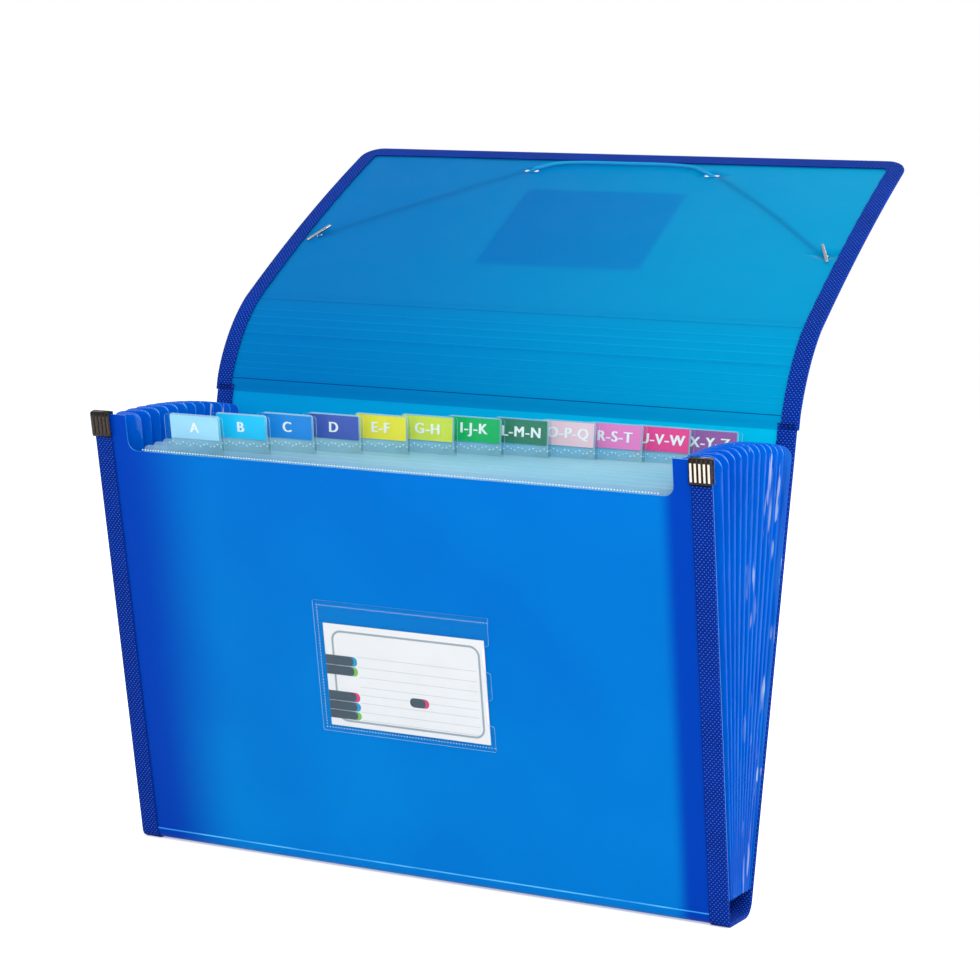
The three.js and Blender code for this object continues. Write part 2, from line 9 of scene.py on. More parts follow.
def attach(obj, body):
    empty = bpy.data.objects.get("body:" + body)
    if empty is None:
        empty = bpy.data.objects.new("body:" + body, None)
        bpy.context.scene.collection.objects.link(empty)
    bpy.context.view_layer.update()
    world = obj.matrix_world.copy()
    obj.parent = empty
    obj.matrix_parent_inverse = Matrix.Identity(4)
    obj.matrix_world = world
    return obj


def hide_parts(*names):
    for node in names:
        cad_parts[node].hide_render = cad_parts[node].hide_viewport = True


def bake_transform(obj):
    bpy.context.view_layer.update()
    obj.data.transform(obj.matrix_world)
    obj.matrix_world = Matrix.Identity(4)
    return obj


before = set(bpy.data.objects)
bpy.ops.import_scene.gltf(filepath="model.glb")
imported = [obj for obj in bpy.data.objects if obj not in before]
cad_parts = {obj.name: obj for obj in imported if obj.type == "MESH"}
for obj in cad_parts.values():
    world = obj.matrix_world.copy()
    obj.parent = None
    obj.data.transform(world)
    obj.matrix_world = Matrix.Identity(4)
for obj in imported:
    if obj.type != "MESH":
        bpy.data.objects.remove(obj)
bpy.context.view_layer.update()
scene = bpy.context.scene
mm = 0.001

view = {
    "place": (0.5610, -1.2265, 0.3001),
    "turn": (85.501, -2.873, 25.150),
    "lens": 94.04,
}

camera = bpy.data.objects.new("camera", bpy.data.cameras.new("camera"))
camera.data.lens = view["lens"]
camera.data.sensor_width = 36
camera.data.clip_end = 50
camera.location = view["place"]
camera.rotation_euler = [math.radians(a) for a in view["turn"]]
scene.collection.objects.link(camera)
scene.camera = camera
print("camera set")


def clamp(value, low=0.0, high=1.0):
    return max(low, min(high, value))


def smooth(value, low, high):
    t = clamp((value - low) / (high - low))
    return t * t * (3 - 2 * t)


def direction(heading):
    angle = math.radians(heading)
    return math.cos(angle), math.sin(angle)


def makeObject(name, bm, looks, shade=35):
    mesh = bpy.data.meshes.new(name)
    bm.normal_update()
    bm.to_mesh(mesh)
    bm.free()
    for look in looks if isinstance(looks, (list, tuple)) else [looks]:
        mesh.materials.append(look)
    piece = bpy.data.objects.new(name, mesh)
    scene.collection.objects.link(piece)
    if shade:
        mesh.shade_smooth()
        mesh.set_sharp_from_angle(angle=math.radians(shade))
    return piece


def applyAll(piece):
    bpy.context.view_layer.update()
    depsgraph = bpy.context.evaluated_depsgraph_get()
    finished = bpy.data.meshes.new_from_object(
        piece.evaluated_get(depsgraph), preserve_all_data_layers=True, depsgraph=depsgraph
    )
    piece.modifiers.clear()
    piece.data = finished
    return piece


def thicken(piece, thickness, offset=0, rim=0, even=True):
    solid = piece.modifiers.new("thickness", "SOLIDIFY")
    solid.thickness = thickness
    solid.offset = offset
    solid.use_even_offset = even
    solid.material_offset_rim = rim
    applyAll(piece)
    piece.data.shade_smooth()
    piece.data.set_sharp_from_angle(angle=math.radians(40))
    return piece


def place(piece, body, slot, *nodes):
    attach(piece, body)
    if nodes:
        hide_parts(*nodes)
    return piece


# flat outline with rounded corners, cut across at the given places, ready to be bent
def flatOutline(corners, cutsX=(), cutsY=(), steps=5):
    bm = bmesh.new()
    verts = [bm.verts.new((x, y, 0)) for x, y, _ in corners]
    face = bm.faces.new(verts)
    bm.normal_update()
    if face.normal.z < 0:
        face.normal_flip()
    for vert, (x, y, radius) in zip(verts, corners):
        if radius > 0:
            bmesh.ops.bevel(
                bm, geom=[vert], offset=radius, offset_type="OFFSET", affect="VERTICES",
                segments=steps, profile=0.5, material=-1,
            )
    for axis, cuts in ((0, cutsX), (1, cutsY)):
        for cut in cuts:
            spot, way = [0, 0, 0], [0, 0, 0]
            spot[axis], way[axis] = cut, 1
            bmesh.ops.bisect_plane(
                bm, geom=bm.verts[:] + bm.edges[:] + bm.faces[:], plane_co=spot, plane_no=way
            )
    bmesh.ops.remove_doubles(bm, verts=bm.verts, dist=0.00001)
    return bm


def spread(low, high, count):
    return [low + (high - low) * i / count for i in range(count + 1)]


# a grid and each corner's column and row in it
def gridCells(bm, columns, rows):
    made = bmesh.ops.create_grid(bm, x_segments=columns, y_segments=rows, size=1)
    return {v: (round((v.co.x + 1) / 2 * columns), round((v.co.y + 1) / 2 * rows)) for v in made["verts"]}


def walked(points):
    walk = [0.0]
    for a, b in zip(points, points[1:]):
        walk.append(walk[-1] + math.dist(a, b))
    return walk


def writeUv(bm, cells, across, along, scale):
    layer = bm.loops.layers.uv.verify()
    for face in bm.faces:
        for loop in face.loops:
            i, j = cells[loop.vert]
            loop[layer].uv = (across[i] * scale, along[j] * scale)


def box(left, right, bottom, top, radius=0.0):
    return [(left, bottom, radius), (right, bottom, radius), (right, top, radius), (left, top, radius)]


def bend(bm, placeFunction):
    for vert in bm.verts:
        vert.co = placeFunction(*vert.co)


cover = {
    "offsetY": -78.54,
    "halfWidth": 165,
    "lidHalfWidth": 166,
    "thickness": 0.6,
    "frontHeight": 235,
    "baseDepth": 30,
    "backHeight": 245.5,
    "frontLean": 15.5,
    "backLean": 6.6,
    "floorToSheet": 1.2,
    "frontRound": 3.5,
    "backRound": 7,
    "stripLength": 51,
    "stripLeans": (15.5, 46.5),
    "lidLength": 164.5,
    "lidLeans": (52.3, 60.3),
    "crease": 3.0,
    "notchHalf": 147,
    "notchDepth": 18.5,
    "notchRound": 5,
    "lidRound": 11,
    "creaseRise": 2.2,
    "creaseWidth": 0.7,
    "bandBelow": 3.5,
    "foldOverlap": 4,
    "frontBow": 0.2,
}


def coverLine():
    c = cover
    frontTurn = 90 - c["frontLean"]
    backTurn = 90 - c["backLean"]
    frontSet = c["frontRound"] * math.tan(math.radians(frontTurn / 2))
    backSet = c["backRound"] * math.tan(math.radians(backTurn / 2))
    half = c["crease"] / 2
    back = 360 + backTurn
    stripStart, stripEnd = (450 - lean for lean in c["stripLeans"])
    lidStart, lidEnd = (450 - lean for lean in c["lidLeans"])
    runs = [
        (c["frontHeight"] - frontSet, 360 - frontTurn, 360 - frontTurn),
        (c["frontRound"] * math.radians(frontTurn), 360 - frontTurn, 360),
        (c["baseDepth"] - frontSet - backSet, 360, 360),
        (c["backRound"] * math.radians(backTurn), 360, back),
        (c["backHeight"] - backSet - half, back, back),
        (c["crease"], back, stripStart),
        (c["stripLength"] - c["crease"], stripStart, stripEnd),
        (c["crease"], stripEnd, lidStart),
        (c["lidLength"] - half, lidStart, lidEnd),
    ]
    up = direction(90 + c["frontLean"])
    y = c["offsetY"] + c["frontHeight"] * up[0]
    z = c["floorToSheet"] + c["frontHeight"] * up[1]
    s = 0
    line = [(s, y, z, runs[0][1])]
    ends = []
    for length, start, end in runs:
        steps = max(1, round(length / 0.5)) if start != end else 1
        for i in range(steps):
            heading = start + (end - start) * (i + 0.5) / steps
            way = direction(heading)
            s += length / steps
            y += way[0] * length / steps
            z += way[1] * length / steps
            line.append((s, y, z, start + (end - start) * (i + 1) / steps))
        ends.append(s)
    return line, ends


sideLine, runEnds = coverLine()
frontEnd, baseStart, baseEnd, backStart = runEnds[0], runEnds[1], runEnds[2], runEnds[3]
lowerFold = runEnds[4] + cover["crease"] / 2
upperFold = lowerFold + cover["stripLength"]
sheetEnd = runEnds[8]


sideStations = [point[0] for point in sideLine]


# the line runs on straight past both of its ends
def onLine(s):
    if s <= 0:
        first = sideLine[0]
        way = direction(first[3])
        return first[1] + way[0] * s, first[2] + way[1] * s, first[3]
    last = sideLine[-1]
    if s >= last[0]:
        way = direction(last[3])
        return last[1] + way[0] * (s - last[0]), last[2] + way[1] * (s - last[0]), last[3]
    i = bisect.bisect_right(sideStations, s) - 1
    a, b = sideLine[i], sideLine[i + 1]
    t = (s - a[0]) / (b[0] - a[0])
    return tuple(a[k] + (b[k] - a[k]) * t for k in (1, 2, 3))


# x across, s along the sheet from the front top edge, h towards the inner side, all in mm
def onSheet(x, s, h=0.0):
    y, z, heading = onLine(s)
    way = direction(heading)
    return Vector((x, y - way[1] * h, z + way[0] * h)) * mm


# a leaf of the fan: station 0 at the front panel, 1 at the back panel
fan = {"pockets": 13, "pleat": 0.4, "seat": 0.3, "clipWall": 0.6, "ribbon": 0.6}
fan["floor"] = cover["floorToSheet"] + cover["thickness"] / 2 + fan["seat"]
fan["backInset"] = cover["thickness"] / 2 + 2 * fan["seat"] + fan["ribbon"] + fan["pleat"] / 2
fan["frontInset"] = fan["backInset"] + fan["clipWall"] + fan["seat"]
fanRise = fan["floor"] - cover["floorToSheet"]
leans = [math.radians(cover[key]) for key in ("frontLean", "backLean")]
fanFrontY = fan["frontInset"] / math.cos(leans[0]) - fanRise * math.tan(leans[0])
fanBackY = cover["baseDepth"] - fan["backInset"] / math.cos(leans[1]) + fanRise * math.tan(leans[1])


# x across, height up the leaf, h towards the back
def onLeaf(station, x, height, h=0.0):
    heading = 90 + cover["frontLean"] - station * (cover["frontLean"] + cover["backLean"])
    way = direction(heading)
    y = cover["offsetY"] + fanFrontY + (fanBackY - fanFrontY) * station
    z = fan["floor"] + way[1] * height - way[0] * h
    return Vector((x, y + way[0] * height + way[1] * h, z)) * mm


# x across, height up the front panel, h towards the front
def onFront(x, height, h=0.0):
    return onSheet(x, cover["frontHeight"] - height, -h)



class Nodes:
    def __init__(self, name):
        self.material = bpy.data.materials.new(name)
        self.material.use_nodes = True
        self.tree = self.material.node_tree
        self.tree.nodes.clear()
        self.output = self.tree.nodes.new("ShaderNodeOutputMaterial")
        self.count = 0

    def add(self, kind, **values):
        node = self.tree.nodes.new(kind)
        self.count += 1
        node.location = (-200 * self.count, 0)
        for key, value in values.items():
            setattr(node, key, value)
        return node

    def join(self, source, target):
        self.tree.links.new(source, target)

    def feed(self, target, value):
        if isinstance(value, bpy.types.NodeSocket):
            self.join(value, target)
        else:
            target.default_value = value

    def math(self, operation, a, b=0.0):
        node = self.add("ShaderNodeMath", operation=operation)
        self.feed(node.inputs[0], a)
        self.feed(node.inputs[1], b)
        return node.outputs[0]

    def coords(self, kind="Object", scale=(1, 1, 1)):
        source = self.add("ShaderNodeTexCoord")
        mapping = self.add("ShaderNodeMapping")
        mapping.inputs["Scale"].default_value = scale
        self.join(source.outputs[kind], mapping.inputs["Vector"])
        return mapping.outputs[0]

    def noise(self, vector, scale, detail=3.0, rough=0.55):
        node = self.add("ShaderNodeTexNoise")
        self.join(vector, node.inputs["Vector"])
        node.inputs["Scale"].default_value = scale
        node.inputs["Detail"].default_value = detail
        node.inputs["Roughness"].default_value = rough
        return node.outputs["Fac"]

    def ramp(self, value, low, high, fromValue=0.0, toValue=1.0):
        node = self.add("ShaderNodeMapRange")
        node.interpolation_type = "SMOOTHSTEP"
        self.feed(node.inputs["Value"], value)
        node.inputs["From Min"].default_value = low
        node.inputs["From Max"].default_value = high
        node.inputs["To Min"].default_value = fromValue
        node.inputs["To Max"].default_value = toValue
        return node.outputs[0]

    def mix(self, factor, a, b, blend="MIX"):
        node = self.add("ShaderNodeMix", data_type="RGBA", blend_type=blend)
        self.feed(node.inputs[0], factor)
        self.feed(node.inputs[6], a)
        self.feed(node.inputs[7], b)
        return node.outputs[2]

    def bump(self, height, distance, strength=1.0, normal=None):
        node = self.add("ShaderNodeBump")
        self.feed(node.inputs["Height"], height)
        node.inputs["Distance"].default_value = distance
        node.inputs["Strength"].default_value = strength
        if normal is not None:
            self.join(normal, node.inputs["Normal"])
        return node.outputs[0]

    def principled(self, colour, roughness, normal=None, **sockets):
        node = self.add("ShaderNodeBsdfPrincipled")
        self.feed(node.inputs["Base Color"], colour)
        self.feed(node.inputs["Roughness"], roughness)
        if normal is not None:
            self.join(normal, node.inputs["Normal"])
        for key, value in sockets.items():
            node.inputs[key.replace("_", " ")].default_value = value
        return node.outputs[0]

    def mixShader(self, factor, a, b):
        node = self.add("ShaderNodeMixShader")
        self.feed(node.inputs[0], factor)
        self.join(a, node.inputs[1])
        self.join(b, node.inputs[2])
        return node.outputs[0]

    def glow(self, colour, normal=None):
        node = self.add("ShaderNodeBsdfTranslucent")
        self.feed(node.inputs["Color"], colour)
        if normal is not None:
            self.join(normal, node.inputs["Normal"])
        return node.outputs[0]

    def clear(self, colour):
        node = self.add("ShaderNodeBsdfTransparent")
        self.feed(node.inputs["Color"], colour)
        return node.outputs[0]

    def finish(self, shader):
        self.join(shader, self.output.inputs["Surface"])
        return self.material


def rgb(r, g, b):
    def linear(value):
        value = value / 255
        return value / 12.92 if value <= 0.04045 else ((value + 0.055) / 1.055) ** 2.4

    return (linear(r), linear(g), linear(b), 1.0)


sheetLook = {
    "front": (0, 132, 222),
    "frontLow": (0, 150, 232),
    "frontEdge": (0, 70, 192),
    "lid": (0, 156, 204),
    "lidEdge": (0, 146, 198),
    "glowFront": (0, 145, 232),
    "glowLid": (0, 205, 235),
    "seeThrough": (0, 195, 232),
    # painted shade and painted highlight beside the scores of the strip
    "score": (0, 92, 158),
    "scoreHighlightPainted": (10, 180, 224),
    "band": (0, 152, 206),
    "backPale": (0, 186, 226),
    "glowBack": (0, 230, 250),
    # a painted highlight along the front panel's bottom crease
    "crease": (90, 200, 250),
    "leftEdge": (-0.100, -0.150),
    "rightEdge": (0.138, 0.147),
    "low": (0.150, 0.015),
    # painted shade: the sheets darken towards their left side, across the first reach value to the second
    "sideShadeReach": (-0.15, 0.16),
    "sideShadeLeft": (1, 0.70, 0.86, 1),
    "sideShadeRight": (1, 1.0, 0.95, 1),
    "roughness": 0.4,
    "shine": 0.16,
    "shineTint": (0.1, 0.5, 1, 1),
    "grain": 1400,
    "behind": (-0.08, -0.06),
    "backTop": (0.17, 0.235),
    "backGlow": 0.45,
    "cloudFront": 0.2,
    "cloudLid": 0.35,
}


def sheetTone(key):
    return rgb(*sheetLook[key])


# the top of the back panel has only light behind it, so it looks as pale as the lid
def polypropylene(name, tone, edgeTone, glowTone, glowShare, clearShare, paleTop=False):
    n = Nodes(name)
    spot = n.coords()
    split = n.add("ShaderNodeSeparateXYZ")
    n.join(spot, split.inputs[0])
    cloud = n.noise(spot, 9, 2)
    glowColour, through = sheetTone(glowTone), sheetTone("seeThrough")
    # painted shade: every sheet is darker towards its left side
    reach = n.ramp(split.outputs["X"], *sheetLook["sideShadeReach"])
    sideShade = n.mix(reach, sheetLook["sideShadeLeft"], sheetLook["sideShadeRight"])
    if paleTop:
        across = split.outputs["X"]
        edge = n.math("MAXIMUM", *(n.ramp(across, *sheetLook[key]) for key in ("leftEdge", "rightEdge")))
        low = n.ramp(split.outputs["Z"], *sheetLook["low"])
        lifted = n.mix(low, sheetTone(tone), sheetTone("frontLow"))
        base = n.mix(edge, lifted, sheetTone(edgeTone))
        front = n.mix(n.ramp(cloud, 0.35, 0.7, 0.0, sheetLook["cloudFront"]), base, sheetTone(edgeTone))
        behind = n.ramp(split.outputs["Y"], *sheetLook["behind"])
        pale = n.math("MULTIPLY", behind, n.ramp(split.outputs["Z"], *sheetLook["backTop"]))
        shade = n.mix(pale, front, n.mix(1.0, sheetTone("backPale"), sideShade, "MULTIPLY"))
        glowColour = n.mix(pale, glowColour, n.mix(1.0, sheetTone("glowBack"), sideShade, "MULTIPLY"))
        glowShare = n.ramp(pale, 0, 1, glowShare, sheetLook["backGlow"])
    else:
        clouded = n.ramp(cloud, 0.35, 0.7, 0.0, sheetLook["cloudLid"])
        base = n.mix(clouded, sheetTone(tone), sheetTone(edgeTone))
        colours = (base, glowColour, through)
        shade, glowColour, through = (n.mix(1.0, colour, sideShade, "MULTIPLY") for colour in colours)
    grain = n.noise(spot, sheetLook["grain"], 2)
    wave = n.noise(spot, 22, 1)
    smear = n.noise(spot, 60, 3)
    rough = n.ramp(smear, 0.3, 0.7, sheetLook["roughness"] - 0.05, sheetLook["roughness"] + 0.08)
    normal = n.bump(grain, 0.00004, 0.5, n.bump(wave, 0.0012, 0.35))
    body = n.principled(
        shade, rough, normal, Specular_IOR_Level=sheetLook["shine"], Specular_Tint=sheetLook["shineTint"]
    )
    lit = n.mixShader(glowShare, body, n.glow(glowColour, normal))
    return n.finish(n.mixShader(clearShare, lit, n.clear(through)))


coverLook = polypropylene("coverSheet", "front", "frontEdge", "glowFront", 0.25, 0.05, True)
lidLook = polypropylene("lidSheet", "lid", "lidEdge", "glowLid", 0.45, 0.3)
# the two score looks are painted shade and a painted highlight for the strip's scores
scoreShadePainted = polypropylene("scoreShade", "score", "score", "score", 0.35, 0.2)
bandLook = polypropylene("seamBand", "band", "band", "glowLid", 0.4, 0.12)
scoreHighlightPainted = polypropylene("scoreHighlightPainted", "scoreHighlightPainted", "scoreHighlightPainted", "scoreHighlightPainted", 0.35, 0.2)


# solid plastic in two tones: patches are scale, detail and the two ends of the ramp between the tones
def moulded(name, tone, shade, patches, grain, rough, depth, strength, stretch=(1, 1, 1)):
    n = Nodes(name)
    worn = n.ramp(n.noise(n.coords(scale=stretch), *patches[:2]), *patches[2:])
    normal = n.bump(n.noise(n.coords(), grain), depth, strength)
    return n.finish(n.principled(n.mix(worn, tone, shade), rough, normal))


edgeLook = moulded(
    "sheetCutEdge", rgb(40, 150, 235), rgb(10, 96, 208), (180, 3, 0.3, 0.7), 900, 0.3, 0.00005, 0.4
)
# painted highlight along the bottom crease of the front panel
creaseHighlightPainted = moulded(
    "creasePaintedHighlight", sheetTone("crease"), sheetTone("frontLow"), (160, 2, 0.35, 0.65), 900, 0.3, 0.00005, 0.4,
    (0.2, 1, 1),
)
weld = moulded(
    "weldedDots", rgb(244, 251, 255), rgb(196, 230, 248), (700, 2, 0.3, 0.7), 1600, 0.25, 0.00006, 0.5
)

ribbonLook = {
    "ground": (0, 44, 150),
    "shade": (0, 26, 108),
    "dot": (46, 104, 204),
    "acrossPitch": 0.0020,
    "alongPitch": 0.0024,
}


# UV is in metres: x across the ribbon, y along it
def wovenRibbon():
    n = Nodes("wovenRibbon")
    source = n.add("ShaderNodeTexCoord")
    split = n.add("ShaderNodeSeparateXYZ")
    n.join(source.outputs["UV"], split.inputs[0])
    waveAcross, waveAlong = (
        n.math("SINE", n.math("MULTIPLY", split.outputs[axis], 2 * math.pi / ribbonLook[pitch]))
        for axis, pitch in (("X", "acrossPitch"), ("Y", "alongPitch"))
    )
    both = n.math("MULTIPLY", waveAcross, waveAlong)
    worn = n.noise(source.outputs["UV"], 420, 2)
    uneven = n.math("MULTIPLY", n.math("SUBTRACT", worn, 0.5), 0.5)
    dot = n.ramp(n.math("ADD", both, uneven), 0.45, 0.85)
    rib = n.math("ABSOLUTE", waveAlong)
    ground = n.mix(n.ramp(rib, 0.0, 0.8), rgb(*ribbonLook["shade"]), rgb(*ribbonLook["ground"]))
    faded = n.ramp(n.noise(n.coords(), 40, 3), 0.3, 0.7, 0.0, 0.45)
    tone = n.mix(dot, n.mix(faded, ground, rgb(*ribbonLook["shade"])), rgb(*ribbonLook["dot"]))
    halves = (n.math("MULTIPLY", part, 0.5) for part in (rib, n.math("ABSOLUTE", waveAcross)))
    threads = n.math("ADD", *halves)
    fuzz = n.noise(n.coords(), 2600, 2)
    normal = n.bump(fuzz, 0.00005, 0.5, n.bump(threads, 0.00022, 0.8))
    return n.finish(n.principled(tone, 0.82, normal, Specular_IOR_Level=0.08))


ribbonCloth = wovenRibbon()


# painted glints: upright streaks of pale colour are painted where the creased film near the back panel
# catches the light
def glints(n, spot, colour):
    split = n.add("ShaderNodeSeparateXYZ")
    n.join(spot, split.inputs[0])
    slopes = [math.tan(math.radians(cover[key])) for key in ("frontLean", "backLean")]
    start = n.math("MULTIPLY", split.outputs["Z"], -slopes[0])
    reach = n.math("MULTIPLY", split.outputs["Z"], slopes[0] + slopes[1])
    along = n.math("SUBTRACT", n.math("SUBTRACT", split.outputs["Y"], cover["offsetY"] * mm), start)
    station = n.math("DIVIDE", along, n.math("ADD", reach, cover["baseDepth"] * mm))
    streak = n.ramp(n.noise(n.coords(scale=(1, 1, 0.05)), 420, 2), 0.6, 0.65)
    broken = n.ramp(n.noise(n.coords(scale=(1, 1, 0.4)), 60, 2), 0.42, 0.55)
    share = n.math("MULTIPLY", n.math("MULTIPLY", streak, broken), n.ramp(station, 0.42, 0.6))
    return n.mix(share, colour, rgb(214, 240, 252))


def filmLook(name, tone, deep, glowTone, rough, wrinkle, glowShare, clearShare, clearTone, paintedGlints=False):
    n = Nodes(name)
    spot = n.coords()
    tall = n.coords(scale=(1, 1, 0.12))
    cloud = n.ramp(n.noise(spot, 14, 2), 0.3, 0.7)
    colour = n.mix(cloud, rgb(*tone), rgb(*deep))
    # painted glints on the film near the back panel
    if paintedGlints:
        colour = glints(n, spot, colour)
    creases = n.noise(tall, 150, 2)
    fine = n.noise(tall, 520, 2)
    roughness = n.ramp(n.noise(spot, 70, 2), 0.3, 0.7, rough * 0.8, rough * 1.3)
    normal = n.bump(fine, 0.0001 * wrinkle, 0.4, n.bump(creases, 0.0011 * wrinkle, 0.6))
    body = n.principled(colour, roughness, normal, Specular_IOR_Level=0.55)
    lit = n.mixShader(glowShare, body, n.glow(rgb(*glowTone), normal))
    return n.finish(n.mixShader(clearShare, lit, n.clear(rgb(*clearTone))))


# the pleats carry the painted glints
pleatLook = filmLook(
    "pleatFilm", (0, 136, 234), (0, 114, 222), (0, 156, 246), 0.14, 1.0, 0.4, 0.05, (40, 120, 240), True
)
pleatEdgeLook = filmLook(
    "pleatFilmEdge", (110, 190, 250), (60, 150, 240), (110, 190, 250), 0.2, 0.4, 0.3, 0.0, (255, 255, 255)
)
leafLook = filmLook(
    "leafFilm", (206, 240, 249), (182, 229, 243), (226, 247, 252), 0.14, 0.35, 0.35, 0.5, (232, 248, 252)
)
leafEdgeLook = filmLook(
    "leafFilmEdge", (214, 240, 248), (176, 222, 240), (220, 243, 250), 0.2, 0.2, 0.35, 0.1, (236, 248, 252)
)
clearLook = filmLook(
    "clearFilm", (60, 200, 228), (40, 184, 220), (90, 214, 236), 0.09, 0.3, 0.3, 0.965, (252, 254, 254)
)


def paper(name, tone, shade):
    n = Nodes(name)
    spot = n.coords()
    colour = n.mix(n.ramp(n.noise(spot, 55, 4), 0.35, 0.75, 0.0, 0.5), rgb(*tone), rgb(*shade))
    fibre = n.noise(spot, 1900, 3)
    return n.finish(n.principled(colour, n.ramp(fibre, 0.3, 0.7, 0.42, 0.6), n.bump(fibre, 0.00003, 0.5)))


def metal(name, tone, dark, rough, brush):
    n = Nodes(name)
    spot = n.coords(scale=(1, 1, brush))
    streaks = n.noise(spot, 2400, 2)
    colour = n.mix(n.ramp(streaks, 0.3, 0.7), rgb(*dark), rgb(*tone))
    roughness = n.ramp(n.noise(n.coords(), 240, 3), 0.3, 0.7, rough * 0.75, rough * 1.3)
    return n.finish(n.principled(colour, roughness, n.bump(streaks, 0.00003, 0.6), Metallic=1.0))


clipLook = metal("clipMetal", (60, 54, 50), (46, 41, 38), 0.26, 0.3)
# the flute crests: a painted highlight on the right clip and painted shade on the left clip, the same metal
# on both
crestPaintedLight = {
    "left": metal("clipCrestPaintedShade", (76, 69, 64), (60, 54, 50), 0.26, 0.3),
    "right": metal("clipCrestPaintedHighlight", (232, 222, 206), (208, 197, 180), 0.3, 0.3),
}
barbLook = metal("barbMetal", (205, 205, 208), (150, 150, 155), 0.2, 0.2)


# UV is in metres: x round the cord, y along it
def braid():
    n = Nodes("braidedElastic")
    source = n.add("ShaderNodeTexCoord")
    split = n.add("ShaderNodeSeparateXYZ")
    n.join(source.outputs["UV"], split.inputs[0])
    around = n.math("MULTIPLY", split.outputs["X"], 2 * math.pi / 0.00115)
    along = n.math("MULTIPLY", split.outputs["Y"], 2 * math.pi / 0.0021)
    left, right = (n.math("SINE", n.math(way, around, along)) for way in ("ADD", "SUBTRACT"))
    strand = n.math("MAXIMUM", left, right)
    tone = n.mix(n.ramp(strand, -0.2, 0.9), rgb(0, 96, 180), rgb(28, 176, 226))
    fuzz = n.noise(n.coords(), 3000, 2)
    normal = n.bump(fuzz, 0.00005, 0.5, n.bump(strand, 0.00018, 0.8))
    return n.finish(n.principled(tone, 0.7, normal, Specular_IOR_Level=0.15))


elasticLook = braid()
print("materials made")


def makeCover():
    c = cover
    w, notch, deep = c["halfWidth"], c["notchHalf"], c["notchDepth"]
    end = lowerFold - c["foldOverlap"]
    corners = [
        (-w, 0, 0), (-notch, 0, 0), (-notch, deep, c["notchRound"]), (notch, deep, c["notchRound"]),
        (notch, 0, 0), (w, 0, 0), (w, end, 0), (-w, end, 0),
    ]
    creaseTop, creaseLow = frontEnd - c["creaseRise"] - c["creaseWidth"], frontEnd - c["creaseRise"]
    cutsS = spread(6, frontEnd - 6, 12) + [creaseTop, creaseLow] + spread(frontEnd - 1, baseStart, 7)
    cutsS += spread(baseStart + 2, baseEnd - 1, 3) + spread(baseEnd, backStart, 10)
    cutsS += spread(backStart + 6, end - 6, 12) + [end - c["bandBelow"]]
    bm = flatOutline(corners, spread(-150, 150, 12), cutsS, 6)
    for face in bm.faces:
        s = face.calc_center_median().y
        # a thin band just above the bottom crease takes the painted highlight
        if creaseTop < s < creaseLow:
            face.material_index = 2
        elif s > end - c["bandBelow"]:
            face.material_index = 4

    def bowed(x, s, _):
        up = clamp(1 - s / frontEnd)
        return onSheet(x, s, -c["frontBow"] * math.sin(math.pi * up) * math.cos(math.pi * x / 2 / w))

    bend(bm, bowed)
    piece = makeObject("coverSheet", bm, [coverLook, edgeLook, creaseHighlightPainted, edgeLook, bandLook, edgeLook])
    return place(thicken(piece, c["thickness"] * mm, 0, 1), "file", "cover_sheet", "cover_sheet")


makeCover()

# takes a piece made flat at the origin to its place on the lid
def lidTurn(x, s):
    up, inner = onSheet(x, s + 1) - onSheet(x, s), onSheet(x, s, 1) - onSheet(x, s)
    turn = Matrix((Vector((1, 0, 0)), up.normalized(), inner.normalized())).transposed().to_4x4()
    turn.translation = onSheet(x, s)
    return turn


lidFittings = {
    "centre": 5,
    "slitSpacing": 110,
    "slitAlong": 143,
    "slitLength": 9,
    "slitWidth": 3.2,
    "barbSpacing": 300,
    "barbAlong": 63,
    "barbHole": 3.4,
}


strip = {
    "scoresLower": (0, 5.5, 9, 14.5, 20),
    "scoresUpper": (1.5, 7, 12, 17.5),
    "scoreHalf": 0.5,
    "scoreDip": 0.22,
}


# painted shade just below each fold, a painted highlight just above each score but the last, the seam's band
# below the strip
def stripPiece(name, start, end, scores):
    w, half = cover["lidHalfWidth"], strip["scoreHalf"]
    cuts = [c for c in spread(start, end, 24) if start < c < end]
    for score in scores:
        cuts += [score - half, score, score + half]
    corners = [(-w, start, 0), (w, start, 0), (w, end, 0), (-w, end, 0)]
    bm = flatOutline(corners, spread(-150, 150, 10), cuts)

    for face in bm.faces:
        spot = face.calc_center_median().y
        if spot < lowerFold:
            face.material_index = 6
        for score in scores:
            if abs(spot - score) < half:
                lighter = spot > score and score != upperFold
                darker = spot < score and score in (upperFold, lowerFold)
                face.material_index = 2 if darker else 4 if lighter else face.material_index

    def scored(x, s, _):
        dip = sum(strip["scoreDip"] for score in scores if abs(s - score) < 0.1)
        return onSheet(x, s, -dip)

    bend(bm, scored)
    looks = [lidLook, edgeLook, scoreShadePainted, edgeLook, scoreHighlightPainted, edgeLook, bandLook, edgeLook]
    return thicken(makeObject(name, bm, looks), cover["thickness"] * mm, 0, 1)


middle = (lowerFold + upperFold) / 2
overlap = cover["foldOverlap"]
lowerScores = [lowerFold + score for score in strip["scoresLower"]]
upperScores = [middle + score for score in strip["scoresUpper"]] + [upperFold]
lowerStrip = stripPiece("stripLower", lowerFold - overlap, middle, lowerScores)
upperStrip = stripPiece("stripUpper", middle, upperFold + overlap, upperScores)


def crossFold(piece, lower, fold, slot, *nodes):
    onSheet(0, fold - 3)
    onSheet(0, fold + 3)
    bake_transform(piece)
    if nodes:
        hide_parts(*nodes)
    return piece


crossFold(lowerStrip, True, lowerFold, "lid_sheet", "flap_strip")
crossFold(upperStrip, False, upperFold, "lid_sheet")


